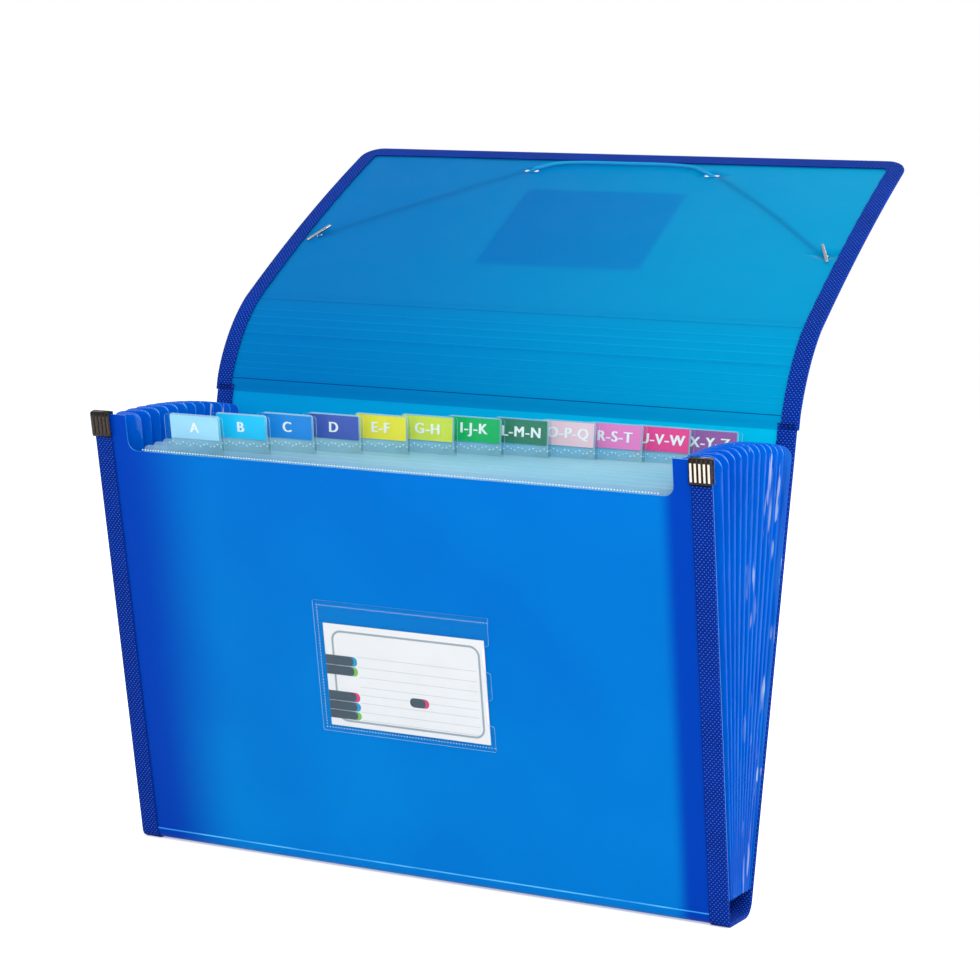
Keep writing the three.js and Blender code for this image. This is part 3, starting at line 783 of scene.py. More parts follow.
# slot-shaped cutters open the slits and the barb holes
def makeLid():
    w = cover["lidHalfWidth"]
    start, end, r = upperFold + overlap, sheetEnd, cover["lidRound"]
    corners = [(-w, start, 0), (w, start, 0), (w, end, r), (-w, end, r)]
    f = lidFittings
    bm = flatOutline(corners, spread(-150, 150, 20), spread(start + 8, end - 8, 22), 10)
    bend(bm, lambda x, s, _: onSheet(x, s))
    piece = makeObject("lidSheet", bm, [lidLook, edgeLook])
    thicken(piece, cover["thickness"] * mm, 0, 1)
    for side in (-1, 1):
        slitX, barbX = f["centre"] + side * f["slitSpacing"] / 2, side * f["barbSpacing"] / 2
        for x, along, length, width in (
            (slitX, f["slitAlong"], f["slitLength"], f["slitWidth"]),
            (barbX, f["barbAlong"], f["barbHole"], f["barbHole"]),
        ):
            cutter = bmesh.new()
            bmesh.ops.create_circle(cutter, cap_ends=True, segments=24, radius=width / 2 * mm)
            reach = (length - width) / 2 * mm
            for vert in cutter.verts:
                vert.co.x += reach if vert.co.x > 0 else -reach
            walls = bmesh.ops.extrude_face_region(cutter, geom=cutter.faces[:])["geom"]
            far = [part for part in walls if isinstance(part, bmesh.types.BMVert)]
            bmesh.ops.translate(cutter, verts=far, vec=(0, 0, 0.01))
            bmesh.ops.translate(cutter, verts=cutter.verts, vec=(0, 0, -0.005))
            bmesh.ops.recalc_face_normals(cutter, faces=cutter.faces)
            turn = lidTurn(x, upperFold + along)
            cutter.transform(turn)
            tool = makeObject("cutter", cutter, edgeLook)
            hole = piece.modifiers.new("hole", "BOOLEAN")
            hole.object = tool
            hole.solver = "EXACT"
            applyAll(piece)
            bpy.data.objects.remove(tool)
    return place(piece, "lid", "lid_sheet", "flap_panel")


makeLid()
print("sheets made")

ribbon = {
    "reach": 0.9,
    "half": 1.05,
    "thickness": 0.45,
    "coverWidth": 10,
    "lidWidth": 9.5,
    "round": 0.9,
    "tuck": 3,
}


# cross section of the folded ribbon: distance in from its outer edge and height over the sheet
def ribbonSection(width):
    half, reach = ribbon["half"], ribbon["round"]
    section = [(width - i * (width - reach) / 8, half) for i in range(9)]
    bends = (0.5, 1.0, math.pi / 2, math.pi - 1.0, math.pi - 0.5)
    section += [(reach - reach * math.sin(a), half * math.cos(a)) for a in bends]
    section += [(reach + i * (width - reach) / 8, -half) for i in range(9)]
    return section


# spotOf(u, inset, h): u runs along the edge, inset goes in from the outer edge, h is a height
def ribbonPiece(width, stations, spotOf):
    section = ribbonSection(width)
    columns = len(section) - 1
    bm = bmesh.new()
    cells = gridCells(bm, columns, len(stations) - 1)
    writeUv(bm, cells, walked(section), stations, mm)
    for vert, (i, j) in cells.items():
        inset, h = section[i]
        selvage = 0.12 * math.sin(stations[j] * 2.1) + 0.08 * math.sin(stations[j] * 0.73 + i)
        if i in (0, columns):
            inset += selvage
        vert.co = spotOf(stations[j], inset, h)
    bmesh.ops.recalc_face_normals(bm, faces=bm.faces)
    return bm


def edgeRibbon(name, side, edge, width, start, end, count):
    outer = edge + ribbon["reach"]
    stations = spread(start, end, count)
    bm = ribbonPiece(width, stations, lambda s, inset, h: onSheet(side * (outer - inset), s, h))
    piece = makeObject(name, bm, ribbonCloth, 60)
    outermost = max(piece.data.polygons, key=lambda face: side * face.center.x)
    outwards = outermost.normal.x * side > 0
    return thicken(piece, ribbon["thickness"] * mm, -1 if outwards else 1)


def makeEdgeRibbons(side, hand):
    wide, lidWide = ribbon["coverWidth"], ribbon["lidWidth"]
    edge, lidEdge = cover["halfWidth"], cover["lidHalfWidth"]
    piece = edgeRibbon("coverRibbon_" + hand, side, edge, wide, 0, lowerFold - overlap, 260)
    place(piece, "file", "woven_ribbon", "binding_" + hand)
    start = lowerFold - overlap - ribbon["tuck"]
    lower = edgeRibbon("stripRibbonLower_" + hand, side, lidEdge, lidWide, start, middle, 30)
    crossFold(lower, True, lowerFold, "woven_ribbon", "strip_binding_" + hand)
    upper = edgeRibbon("stripRibbonUpper_" + hand, side, lidEdge, lidWide, middle, upperFold + overlap, 30)
    crossFold(upper, False, upperFold, "woven_ribbon")


hands = ((-1, "left"), (1, "right"))
for side, hand in hands:
    makeEdgeRibbons(side, hand)


def makeLidRibbon():
    w = cover["lidHalfWidth"] + ribbon["reach"]
    top = sheetEnd + ribbon["reach"]
    r = cover["lidRound"] + ribbon["reach"]
    start = upperFold + overlap
    straight = top - r - start
    quarter = r * math.pi / 2
    acrossRun = 2 * (w - r)
    total = 2 * straight + 2 * quarter + acrossRun

    # outer edge and the way in from it: up the left side, across the end, down the right side
    def edgeSpot(u):
        if u <= straight:
            return -w, start + u, 1, 0
        u -= straight
        if u <= quarter:
            a = u / r
            return -w + r - r * math.cos(a), top - r + r * math.sin(a), math.cos(a), -math.sin(a)
        u -= quarter
        if u <= acrossRun:
            return -w + r + u, top, 0, -1
        u -= acrossRun
        if u <= quarter:
            a = u / r
            return w - r + r * math.sin(a), top - r + r * math.cos(a), -math.sin(a), -math.cos(a)
        return w, top - r - (u - quarter), -1, 0

    def spotOf(u, inset, h):
        x, s, wayX, wayS = edgeSpot(u)
        return onSheet(x + wayX * inset, s + wayS * inset, h)

    stops = (0, straight, straight + quarter, total - straight - quarter, total - straight, total)
    stations = [0]
    for low, high, count in zip(stops, stops[1:], (60, 12, 100, 12, 60)):
        stations += spread(low, high, count)[1:]
    bm = ribbonPiece(ribbon["lidWidth"], stations, spotOf)
    piece = makeObject("lidRibbon", bm, ribbonCloth, 60)
    probe = min(piece.data.polygons, key=lambda p: p.center.x)
    piece = thicken(piece, ribbon["thickness"] * mm, -1 if probe.normal.x < 0 else 1)
    return place(piece, "lid", "woven_ribbon", "flap_binding")


makeLidRibbon()
print("ribbons made")

clip = {
    "width": 11,
    "height": 12.5,
    "wall": 0.6,
    "flutes": 5,
    "depth": 0.55,
    "inside": 1.4,
    "steps": 10,
    "rows": 14,
    "sunk": 0.25,
    "crestShare": 0.72,
    "crestInset": 1.4,
}


def makeClip(side, hand):
    half = clip["width"] / 2
    outside = clip["inside"] + clip["wall"]
    top = cover["frontHeight"] + fan["seat"] + clip["wall"]
    low = top - clip["height"]
    middleX = side * (cover["halfWidth"] + ribbon["reach"] - ribbon["coverWidth"] / 2)
    count = clip["flutes"] * clip["steps"]
    rows = clip["rows"]
    bm = bmesh.new()
    for vert, (i, j) in gridCells(bm, count, rows).items():
        rise = clip["depth"] * abs(math.sin(math.pi * i / clip["steps"])) ** 0.7 - 0.05
        settle = smooth(min(j, rows - j) / rows, 0.0, 0.12)
        out = outside - clip["sunk"] + (rise + clip["sunk"]) * settle
        vert.co = (-half + clip["width"] * i / count, out, low + clip["height"] * j / rows)
    bmesh.ops.recalc_face_normals(bm, faces=bm.faces)
    # back leg and the bridge over the panel's top edge
    wall, tall = outside - clip["sunk"], clip["height"] / 2
    for vert in bmesh.ops.create_grid(bm, x_segments=2, y_segments=2, size=1)["verts"]:
        vert.co = (vert.co.x * half, -wall, top - tall + vert.co.y * tall)
    for vert in bmesh.ops.create_grid(bm, x_segments=2, y_segments=4, size=1)["verts"]:
        vert.co = (vert.co.x * half, vert.co.y * wall, top)
    # crest faces take their side's painted highlight or painted shade
    for face in bm.faces:
        spot = face.calc_center_median()
        turn = math.pi * clip["flutes"] * (spot.x + half) / clip["width"]
        crest = abs(math.sin(turn)) > clip["crestShare"]
        inside = low + clip["crestInset"] < spot.z < top - clip["crestInset"]
        if crest and inside and spot.y > outside:
            face.material_index = 1
    bend(bm, lambda x, out, height: onFront(middleX + x, height, out))
    bmesh.ops.remove_doubles(bm, verts=bm.verts, dist=0.00012)
    piece = makeObject("endClip_" + hand, bm, [clipLook, crestPaintedLight[hand]], 50)
    solid = piece.modifiers.new("thickness", "SOLIDIFY")
    solid.thickness = clip["wall"] * mm * 0.8
    solid.offset = 0
    applyAll(piece)
    return place(piece, "file", "end_clip", "end_clip_" + hand)


for side, hand in hands:
    makeClip(side, hand)
print("clips made")

pleats = {
    "outer": 165.0,
    "inner": 145.5,
    "bottom": 12,
    "topFront": 233,
    "topBack": 230,
    "outerRound": 6,
    "innerRound": 4,
    "film": 0.35,
    "rows": 46,
    "bellyLow": 0.022,
    "bellyHigh": 0.062,
    "waver": 0.45,
    "sway": 0.15,
}


def edgeDrop(distance, radius):
    inside = max(radius - distance, 0)
    return radius - math.sqrt(max(radius * radius - inside * inside, 0))


# one leg of the film runs in to a leaf and the next runs out again: place in the fan, share inwards
def pleatShape():
    shape = []
    count = fan["pockets"]
    stops = [0.0, 0.02, 0.05, 0.1, 0.2, 0.35, 0.5, 0.65, 0.8, 0.9, 0.95, 0.98]
    for i in range(count - 1):
        start = 0.0 if i == 0 else i + 0.5
        end = float(count) if i == count - 2 else i + 1.5
        shape += [(start + (i + 1 - start) * t, t) for t in stops]
        shape += [(i + 1 + (end - i - 1) * t, 1 - t) for t in stops]
    shape.append((float(count), 0.0))
    return shape


def makePleats(side, hand):
    p = pleats
    shape = pleatShape()
    depth = p["outer"] - p["inner"]
    bm = bmesh.new()
    for vert, (i, j) in gridCells(bm, len(shape) - 1, p["rows"]).items():
        along, inwards = shape[i]
        station = along / fan["pockets"]
        x = p["outer"] - depth * inwards
        drop = edgeDrop(depth * inwards, p["outerRound"]) + edgeDrop(depth * (1 - inwards), p["innerRound"])
        top = p["topFront"] + (p["topBack"] - p["topFront"]) * station - drop
        height = p["bottom"] + (top - p["bottom"]) * (j / p["rows"]) ** 0.8
        high = height / p["topBack"]
        # the legs belly out a little, more so where the fan is open
        curve = math.sin(math.pi * inwards)
        belly = curve * (p["bellyLow"] + p["bellyHigh"] * high) / fan["pockets"]
        waver = noise.noise(Vector((along * 1.7, height / 60, side * 3))) * p["waver"] * high
        free = 1 - abs(2 * inwards - 1)
        sway = noise.noise(Vector((along * 0.9 + 7, height / 45, side * 5))) * p["sway"] * free
        vert.co = onLeaf(station + belly, side * (x + sway), height, waver * curve)
    bmesh.ops.recalc_face_normals(bm, faces=bm.faces)
    piece = makeObject("pleatedSide_" + hand, bm, [pleatLook, pleatEdgeLook], 60)
    thicken(piece, p["film"] * mm, 0, 1, even=False)
    return place(piece, "file", "pleated_film", "gusset_" + hand)


for side, hand in hands:
    makePleats(side, hand)
print("pleated sides made")

leaf = {
    "halfWidth": 145.0,
    "bottom": 4.5,
    "height": 217,
    "film": 0.3,
    "round": 3,
    "tabWidth": 29,
    "tabHeight": 18,
    "cardRise": 5.4,
    "tabRound": 1.5,
    "wave": 0.5,
    "first": -113.5,
    "last": 125,
    "cardMargin": 0.6,
    "card": 0.3,
    "cardOut": -0.75,
    "sleeveMargin": 2.5,
    "sleeveDrop": 9,
    "sleeve": 0.2,
    "sleeveOut": -1.3,
    "weldOut": -1.35,
    "weldDrop": 2.6,
    "letterSize": 7.4,
    "letterSpace": 1.12,
    "letterReach": 12.2,
    "cardLift": 1.14,
    "bold": 0.32,
    "boldLift": 0.05,
}

tabs = [
    ("A", (150, 200, 222)), ("B", (0, 180, 232)), ("C", (8, 120, 200)),
    ("D", (60, 74, 160)), ("E-F", (252, 208, 26)), ("G-H", (198, 206, 52)),
    ("I-J-K", (0, 162, 76)), ("L-M-N", (47, 112, 80)), ("O-P-Q", (240, 183, 192)),
    ("R-S-T", (234, 116, 180)), ("U-V-W", (229, 48, 128)), ("X-Y-Z", (142, 74, 142)),
]

letterLook = paper("tabLetters", (255, 255, 255), (250, 252, 252))


# a spot on a leaf's wavy film, or off it towards the back
def onFilm(number, x, height, out=0.0):
    wave = noise.noise(Vector((x / 70, height / 110, number * 2.3)))
    lift = leaf["wave"] * (height / leaf["height"]) ** 2
    return onLeaf(number / fan["pockets"], x, height, out + lift * wave)


def leafPiece(name, number, corners, cuts, steps, out, looks):
    bm = flatOutline(corners, *cuts, steps)
    bend(bm, lambda x, height, _: onFilm(number, x, height, out))
    return makeObject(name, bm, looks)


def makeLeaf(number, label, left, right, top):
    l = leaf
    w, shoulder, r = l["halfWidth"], l["height"], l["round"]
    corners = [
        (-w, l["bottom"], r), (w, l["bottom"], r), (w, shoulder, r), (right, shoulder, 0),
        (right, top, l["tabRound"]), (left, top, l["tabRound"]), (left, shoulder, 0), (-w, shoulder, r),
    ]
    cuts = spread(-135, 135, 18), spread(20, 225, 14)
    piece = leafPiece("leaf_" + label, number, corners, cuts, 4, 0.0, [leafLook, leafEdgeLook])
    place(thicken(piece, l["film"] * mm, 0, 1), "file", "clear_film", "divider_" + label)


def makeTabCard(number, label, left, right, low, top, tone):
    bright = tuple(min(255, v * leaf["cardLift"]) for v in tone)
    look = paper("tabCard_" + label, bright, tuple(v * 0.94 for v in bright))
    corners = [(left, low, 0), (right, low, 0), (right, top, 0.4), (left, top, 0.4)]
    m = leaf["cardMargin"]
    cuts = spread(left - m + 4, right + m - 4, 5), spread(low + 4, top + m - 4, 2)
    piece = leafPiece("tabCard_" + label, number, corners, cuts, 3, leaf["cardOut"], look)
    place(thicken(piece, leaf["card"] * mm), "file", "index_card_" + label, "index_card_" + label)


# three copies side by side make the letters bold, each a little further out so that none share a plane
def makeTabLetters(number, label, letters, centre, centreHeight):
    text = bpy.data.curves.new("letters", "FONT")
    text.body = letters
    text.size = leaf["letterSize"]
    text.space_character = leaf["letterSpace"]
    text.align_x = "CENTER"
    text.align_y = "CENTER"
    holder = bpy.data.objects.new("letters", text)
    scene.collection.objects.link(holder)
    bpy.context.view_layer.update()
    flat = bpy.data.meshes.new_from_object(holder)
    bpy.data.objects.remove(holder)
    bm = bmesh.new()
    for step in (-1, 0, 1):
        move = Vector((step * leaf["bold"], 0, (step + 1) * leaf["boldLift"]))
        flat.transform(Matrix.Translation(move))
        bm.from_mesh(flat)
        flat.transform(Matrix.Translation(-move))
    across, upwards = ([v.co[axis] for v in bm.verts] for axis in (0, 1))
    middleX, middleY = (min(across) + max(across)) / 2, (min(upwards) + max(upwards)) / 2
    squeeze = min(1.0, leaf["letterReach"] / (max(across) - middleX))
    face = leaf["cardOut"] - leaf["card"] / 2 - 0.05
    for vert in bm.verts:
        x, height = centre + (vert.co.x - middleX) * squeeze, centreHeight + vert.co.y - middleY
        vert.co = onFilm(number, x, height, face - vert.co.z)
    place(makeObject("tabLetters_" + label, bm, letterLook, 0), "file", "index_card_" + label)


def makeSleeve(number, label, left, right, top):
    l = leaf
    low, high = l["height"] - l["sleeveDrop"], top - 0.2
    cuts = spread(left + 4, right - 4, 6), spread(low + 3, top - 4, 5)
    corners = box(left, right, low, high, l["tabRound"])
    looks = [clearLook, leafEdgeLook]
    piece = leafPiece("tabSleeve_" + label, number, corners, cuts, 3, l["sleeveOut"], looks)
    place(thicken(piece, l["sleeve"] * mm, 0, 1), "file", "clear_film", "tab_sleeve_" + label)


def makeTab(number, letters, tone):
    l = leaf
    label = f"{number:02d}"
    centre = l["first"] + (l["last"] - l["first"]) * (number - 1) / (len(tabs) - 1)
    left, right = centre - l["tabWidth"] / 2, centre + l["tabWidth"] / 2
    top = l["height"] + l["tabHeight"]
    cardLow, cardTop = l["height"] + l["cardRise"], top - l["cardMargin"]
    makeLeaf(number, label, left, right, top)
    makeTabCard(number, label, left + l["cardMargin"], right - l["cardMargin"], cardLow, cardTop, tone)
    makeTabLetters(number, label, letters, centre, (cardLow + cardTop) / 2)
    makeSleeve(number, label, left - l["sleeveMargin"], right + l["sleeveMargin"], top)
    for i, x in enumerate(spread(left - 0.5, right + 0.5, 15)):
        height = cardLow - l["weldDrop"] + 0.8 * math.sin(i * 1.9)
        weldSpots.append(onFilm(number, x, height, l["weldOut"]))


weldSpots = []
for number, (letters, tone) in enumerate(tabs, 1):
    makeTab(number, letters, tone)
print("leaves and tabs made")

pocket = {
    "half": 48.25,
    "bottom": 76,
    "height": 70.5,
    "film": 0.25,
    "thumb": 7,
    "thumbDepth": 4,
    "thumbShares": (0.3, 0.7),
    "cardLeft": -43.05,
    "cardWidth": 88.5,
    "cardBottom": 79.8,
    "cardHeight": 55,
    "cardOut": 1.05,
    "printOut": 1.24,
    "weldOut": 0.95,
}


def flatPatch(name, corners, out, look, slot, thickness=0.0, steps=4):
    bm = flatOutline(corners, (), (), steps)
    bend(bm, lambda x, height, _: onFront(x, height, out))
    bm.normal_update()
    for face in bm.faces:
        if face.normal.y > 0:
            face.normal_flip()
    piece = makeObject(name, bm, look, 30)
    if thickness:
        thicken(piece, thickness * mm)
    return place(piece, "file", slot)


cardLook = paper("nameCard", (252, 238, 235), (244, 231, 227))
cardRight = pocket["cardLeft"] + pocket["cardWidth"]
cardTop = pocket["cardBottom"] + pocket["cardHeight"]
cardCorners = box(pocket["cardLeft"], cardRight, pocket["cardBottom"], cardTop)
cardPiece = flatPatch("nameCard", cardCorners, pocket["cardOut"], cardLook, "name_card", 0.3)
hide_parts("name_card")


def makePocket():
    p = pocket
    left, right, low, top = -p["half"], p["half"], p["bottom"], p["bottom"] + p["height"]
    corners = [(left, low, 1), (right, low, 1)]
    for share in p["thumbShares"]:
        height, reach = low + share * p["height"], p["thumb"]
        corners += [
            (right, height - reach, 1), (right - p["thumbDepth"], height - reach, 3.5),
            (right - p["thumbDepth"], height + reach, 3.5), (right, height + reach, 1),
        ]
    corners += [(right, top, 1), (left, top, 1)]
    bm = flatOutline(corners, spread(left + 4, right - 8, 8), spread(low + 4, top - 4, 8), 5)

    def puffed(x, height, _):
        a = smooth(x, left, left + 4)
        b = smooth(height, low, low + 4) * (1 - smooth(height, top - 4, top))
        return onFront(x, height, 0.65 + 1.0 * a * b)

    bend(bm, puffed)
    piece = makeObject("labelPocket", bm, [clearLook, leafEdgeLook])
    thicken(piece, p["film"] * mm, 0, 1)
    return place(piece, "file", "clear_film", "label_pocket")


makePocket()

cardInk = {
    "border": (166, 167, 174), "line": (198, 200, 206), "bar": (62, 64, 74),
    "cyan": (0, 150, 200), "lime": (128, 186, 64), "pink": (226, 44, 108),
}
inks = {}
for name, tone in cardInk.items():
    inks[name] = paper("ink_" + name, tone, tuple(int(v * 0.92) for v in tone))

# border: millimetres in from the edges; lines, bars and pill: shares of the height from the top edge
cardPrint = {
    "border": {"left": 4.1, "right": 2.6, "bottom": 2.6, "top": 3.2, "radius": 5.5, "line": 1.1},
    "lines": (0.30, 0.40, 0.495, 0.59, 0.67, 0.75, 0.84, 0.92),
    "bars": (
        (0.304, 0.398, "cyan"), (0.402, 0.494, "lime"), (0.655, 0.748, "pink"), (0.752, 0.84, "cyan"),
        (0.844, 0.926, "lime"),
    ),
    "pill": (0.635, 0.725),
    "round": 2.3,
}


# upper and lower are shares of the card's height from its top edge
def printPatch(name, left, right, upper, lower, ink, radius=0.0, out=0.0):
    start, tall = pocket["cardLeft"], pocket["cardHeight"]
    corners = box(start + left, start + right, cardTop - lower * tall, cardTop - upper * tall, radius)
    return flatPatch(name, corners, pocket["printOut"] + out, inks[ink], "name_card", 0, 6)


def printBorder():
    b = cardPrint["border"]
    left, right = pocket["cardLeft"] + b["left"], cardRight - b["right"]
    low, top = pocket["cardBottom"] + b["bottom"], cardTop - b["top"]
    bm = flatOutline(box(left, right, low, top, b["radius"]), (), (), 8)
    rim = bmesh.ops.inset_region(
        bm, faces=bm.faces[:], thickness=b["line"], use_even_offset=True, use_boundary=True
    )["faces"]
    bmesh.ops.delete(bm, geom=[face for face in bm.faces if face not in rim], context="FACES")
    bend(bm, lambda x, height, _: onFront(x, height, pocket["printOut"]))
    bmesh.ops.recalc_face_normals(bm, faces=bm.faces)
    bm.normal_update()
    if bm.faces[:][0].normal.y > 0:
        bmesh.ops.reverse_faces(bm, faces=bm.faces)
    place(makeObject("cardBorder", bm, inks["border"], 0), "file", "name_card")


printBorder()
for row, share in enumerate(cardPrint["lines"], 1):
    printPatch(f"cardLine_{row}", 18, 83.5, share - 0.002, share + 0.002, "line")
for row, (upper, lower, ink) in enumerate(cardPrint["bars"], 1):
    printPatch(f"cardBarEnd_{row}", 8, 17.6, upper, lower, ink, cardPrint["round"], 0.02)
    printPatch(f"cardBar_{row}", 8, 15.6, upper, lower, "bar", cardPrint["round"], 0.04)
    printPatch(f"cardBarRoot_{row}", 0.05, 12, upper, lower, "bar", 0, 0.06)
printPatch("cardPillEnd", 46.5, 56.2, *cardPrint["pill"], "pink", cardPrint["round"], 0.02)
printPatch("cardPill", 45.6, 54.2, *cardPrint["pill"], "bar", cardPrint["round"], 0.04)


# rows of small welded dots, each a low bead that stands on the film
def weldDots(name, spots, radius):
    bm = bmesh.new()
    for spot in spots:
        bmesh.ops.create_icosphere(bm, subdivisions=1, radius=radius * mm, matrix=Matrix.Translation(spot))
    return place(makeObject(name, bm, weld, 80), "file", "clear_film")


def pocketWelds():
    left, right = -pocket["half"] + 2.4, pocket["half"] - 0.8
    low, top = pocket["bottom"] + 2.2, pocket["bottom"] + pocket["height"] - 2.4
    spots = [onFront(x, h, pocket["weldOut"]) for h in (low, top) for x in spread(left, right, 58)]
    spots += [onFront(left, h, pocket["weldOut"]) for h in spread(low + 1.6, top - 1.6, 39)]
    weldDots("pocketWelds", spots, 0.3)


def notchWelds():
    low = cover["frontHeight"] - cover["notchDepth"] + 0.75
    reach = cover["notchHalf"] - 8
    spots = [onFront(x, low, -0.42) for x in spread(-reach, reach, 180)]
    weldDots("notchWelds", spots, 0.42)


pocketWelds()
notchWelds()
weldDots("sleeveWelds", weldSpots, 0.36)
print("name card and pocket made")


lidLabel = {"width": 96, "length": 79, "fromFold": 42.5, "round": 0.8, "out": 0.72, "thickness": 0.22}


def makeLidLabel():
    start, centre, half = upperFold + lidLabel["fromFold"], lidFittings["centre"], lidLabel["width"] / 2
    end = start + lidLabel["length"]
    corners = box(centre - half, centre + half, start, end, lidLabel["round"])
    bm = flatOutline(corners, spread(-35, 45, 6), spread(start + 5, end - 5, 8), 3)
    bend(bm, lambda x, s, _: onSheet(x, s, -lidLabel["out"]))
    labelLook = filmLook(
        "lidLabel", (112, 220, 255), (86, 206, 250), (128, 234, 255), 0.5, 0.1, 0.6, 0.55, (98, 230, 255)
    )
    piece = makeObject("lidLabel", bm, labelLook)
    return place(thicken(piece, lidLabel["thickness"] * mm), "lid", "lid_label", "lid_label")


makeLidLabel()

elastic = {"radius": 1.1, "step": 1.2, "sides": 12}
cordInside = cover["thickness"] / 2 + fan["seat"] + elastic["radius"]
cordStart = cover["thickness"] / 2 + elastic["radius"] / 2

# across the lid, up from its fold, and height towards its inner side
cordRoute = [
    (-150, 63, cordStart), (-150, 63, -1), (-149.5, 63.4, -cordInside - 0.35),
    (-147.8, 64.9, -cordInside - 0.4), (-143, 69, -cordInside), (-100, 104.5, -cordInside),
    (-56.5, 140.6, -cordInside), (-53, 142.7, -1.6), (-50, 143, 0),
    (-47, 143.3, 1.6), (-43.5, 145.2, cordInside), (-37, 149.4, cordInside),
    (-22, 151.6, cordInside), (5, 151.8, cordInside), (32, 151.6, cordInside),
    (47, 149.4, cordInside), (53.5, 145.2, cordInside), (57, 143.3, 1.6),
    (60, 143, 0), (63, 142.7, -1.6), (66.5, 140.6, -cordInside),
    (105, 106.5, -cordInside), (143, 69, -cordInside), (147.8, 64.9, -cordInside - 0.4),
    (149.5, 63.4, -cordInside - 0.35), (150, 63, -1), (150, 63, cordStart),
]


# a smooth curve through the points, in steps of about the given length
def smoothPath(points, step):
    spots = []
    ends = [points[0] * 2 - points[1]] + list(points) + [points[-1] * 2 - points[-2]]
    for i in range(1, len(ends) - 2):
        p0, p1, p2, p3 = ends[i - 1 : i + 3]
        count = max(2, round((p2 - p1).length / (step * mm)))
        for k in range(count):
            t = k / count
            linear, square = (p2 - p0) * t, (2 * p0 - 5 * p1 + 4 * p2 - p3) * t * t
            spots.append(0.5 * (2 * p1 + linear + square + (3 * p1 - p0 - 3 * p2 + p3) * t * t * t))
    spots.append(points[-1])
    return spots


def tube(name, path, radius, look, sides):
    bm = bmesh.new()
    rows = len(path) - 1
    cells = gridCells(bm, sides, rows)
    writeUv(bm, cells, [2 * math.pi * radius * i / sides for i in range(sides + 1)], walked(path), 1)
    normal = Vector((0, 1, 0))
    frames = []
    for j, spot in enumerate(path):
        way = (path[min(j + 1, rows)] - path[max(j - 1, 0)]).normalized()
        normal = (normal - way * normal.dot(way)).normalized()
        frames.append((spot, normal.copy(), way.cross(normal)))
    for vert, (i, j) in cells.items():
        spot, a, b = frames[j]
        turn = 2 * math.pi * i / sides
        vert.co = spot + a * (radius * math.cos(turn)) + b * (radius * math.sin(turn))
    bmesh.ops.remove_doubles(bm, verts=bm.verts, dist=0.000005)
    bmesh.ops.holes_fill(bm, edges=[e for e in bm.edges if e.is_boundary])
    bmesh.ops.recalc_face_normals(bm, faces=bm.faces)
    return makeObject(name, bm, look, 50)


def makeElastic():
    path = smoothPath([onSheet(x, upperFold + s, h) for x, s, h in cordRoute], elastic["step"])
    piece = tube("elasticCord", path, elastic["radius"] * mm, elasticLook, elastic["sides"])
    return place(piece, "lid", "elastic", "elastic_cord")


makeElastic()

barb = {
    "radius": 0.9,
    "length": 17.6,
    "round": 0.45,
    "flat": 0.82,
    "waist": 0.3,
    "waistReach": 2.2,
    "lean": 24,
    "rise": 0.75,
}


def makeBarb(side, hand):
    bm = bmesh.new()
    radius, length = barb["radius"] * mm, barb["length"] * mm
    bmesh.ops.create_cone(bm, cap_ends=True, segments=20, radius1=radius, radius2=radius, depth=length)
    rims = [e for e in bm.edges if abs(e.verts[0].co.z - e.verts[1].co.z) < 1e-6]
    bmesh.ops.bevel(
        bm, geom=rims, offset=barb["round"] * mm, affect="EDGES", segments=4, profile=0.5, material=-1
    )
    for vert in bm.verts:
        vert.co.y *= barb["flat"]
        vert.co.x *= 1 - barb["waist"] * math.exp(-((vert.co.z / (barb["waistReach"] * mm)) ** 2))
    s = upperFold + lidFittings["barbAlong"]
    x = side * lidFittings["barbSpacing"] / 2
    upright = Matrix.Rotation(math.radians(-90), 4, "X")
    turn = lidTurn(x, s) @ upright @ Matrix.Rotation(-side * math.radians(barb["lean"]), 4, "Y")
    turn.translation = onSheet(x, s, cordStart + fan["seat"] + barb["rise"])
    bm.transform(turn)
    bmesh.ops.recalc_face_normals(bm, faces=bm.faces)
    piece = makeObject("cordBarb_" + hand, bm, barbLook, 50)
    return place(piece, "lid", "barb_metal", "cord_barb_" + hand)


for side, hand in hands:
    makeBarb(side, hand)
print("lid fittings made")

studio = {
    "floor": (0.86, 0.87, 0.88, 1),
    "floorGlow": 0.5,
    "fill": 0.72,
    "lights": (
        ("keyLight", (0.9, -1.7, 1.6), (0, 0, 0.12), (1.4, 1.4), 34),
        ("sideLight", (1.9, 0.5, 0.7), (0.15, 0, 0.15), (0.35, 1.2), 16),
        ("backLight", (0.2, 2.2, 1.4), (0, 0, 0.3), (2.2, 1.2), 20),
    ),
}


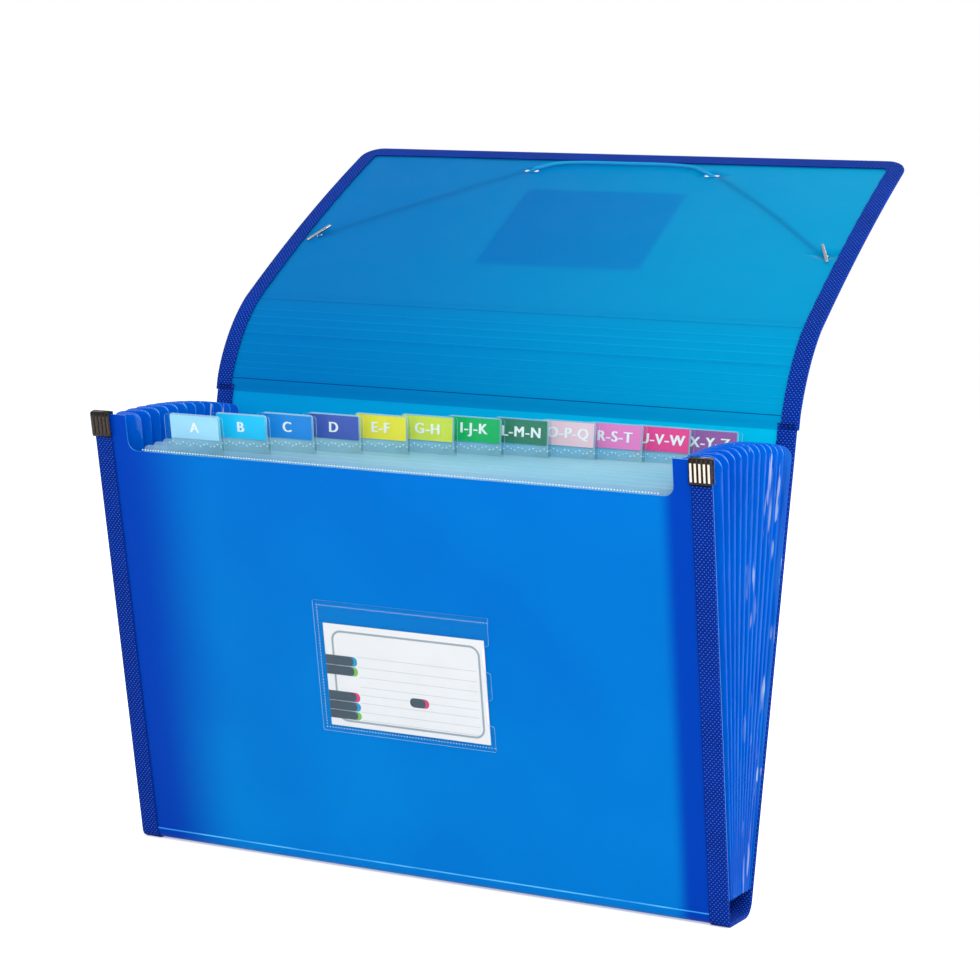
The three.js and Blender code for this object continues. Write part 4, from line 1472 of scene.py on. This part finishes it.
def makeFloor():
    bm = bmesh.new()
    bmesh.ops.create_grid(bm, x_segments=1, y_segments=1, size=6)
    n = Nodes("paleFloor")
    path = n.add("ShaderNodeLightPath")
    seen = n.math("MAXIMUM", path.outputs["Is Camera Ray"], path.outputs["Is Glossy Ray"])
    seen = n.math("MAXIMUM", seen, path.outputs["Is Transmission Ray"])
    glow = n.add("ShaderNodeEmission")
    n.join(n.math("MULTIPLY", seen, studio["floorGlow"]), glow.inputs["Strength"])
    both = n.add("ShaderNodeAddShader")
    n.join(n.principled(studio["floor"], 0.9, None, Specular_IOR_Level=0.0), both.inputs[0])
    n.join(glow.outputs[0], both.inputs[1])
    floor = makeObject("floor", bm, n.finish(both.outputs[0]), 0)


makeFloor()


def areaLight(name, spot, target, size, energy):
    lamp = bpy.data.lights.new(name, "AREA")
    lamp.shape = "RECTANGLE"
    lamp.size, lamp.size_y = size
    lamp.energy = energy
    holder = bpy.data.objects.new(name, lamp)
    holder.location = spot
    holder.rotation_euler = (Vector(target) - Vector(spot)).to_track_quat("-Z", "Y").to_euler()
    scene.collection.objects.link(holder)


for light in studio["lights"]:
    areaLight(*light)


# white as seen, and a little dimmer as a light on the file
def makeSky():
    world = bpy.data.worlds.new("studio")
    scene.world = world
    world.use_nodes = True
    nodes, join = world.node_tree.nodes, world.node_tree.links.new
    nodes.clear()
    kinds = ("OutputWorld", "LightPath", "Math", "MapRange", "Background")
    end, paths, brighter, strength, sky = (nodes.new("ShaderNode" + kind) for kind in kinds)
    brighter.operation = "MAXIMUM"
    join(paths.outputs["Is Camera Ray"], brighter.inputs[0])
    join(paths.outputs["Is Transmission Ray"], brighter.inputs[1])
    strength.inputs["To Min"].default_value = studio["fill"]
    strength.inputs["To Max"].default_value = 1.0
    join(brighter.outputs[0], strength.inputs["Value"])
    sky.inputs["Color"].default_value = (1, 1, 1, 1)
    join(strength.outputs[0], sky.inputs["Strength"])
    join(sky.outputs[0], end.inputs["Surface"])


makeSky()
scene.view_settings.view_transform = "Standard"
print("stage set")
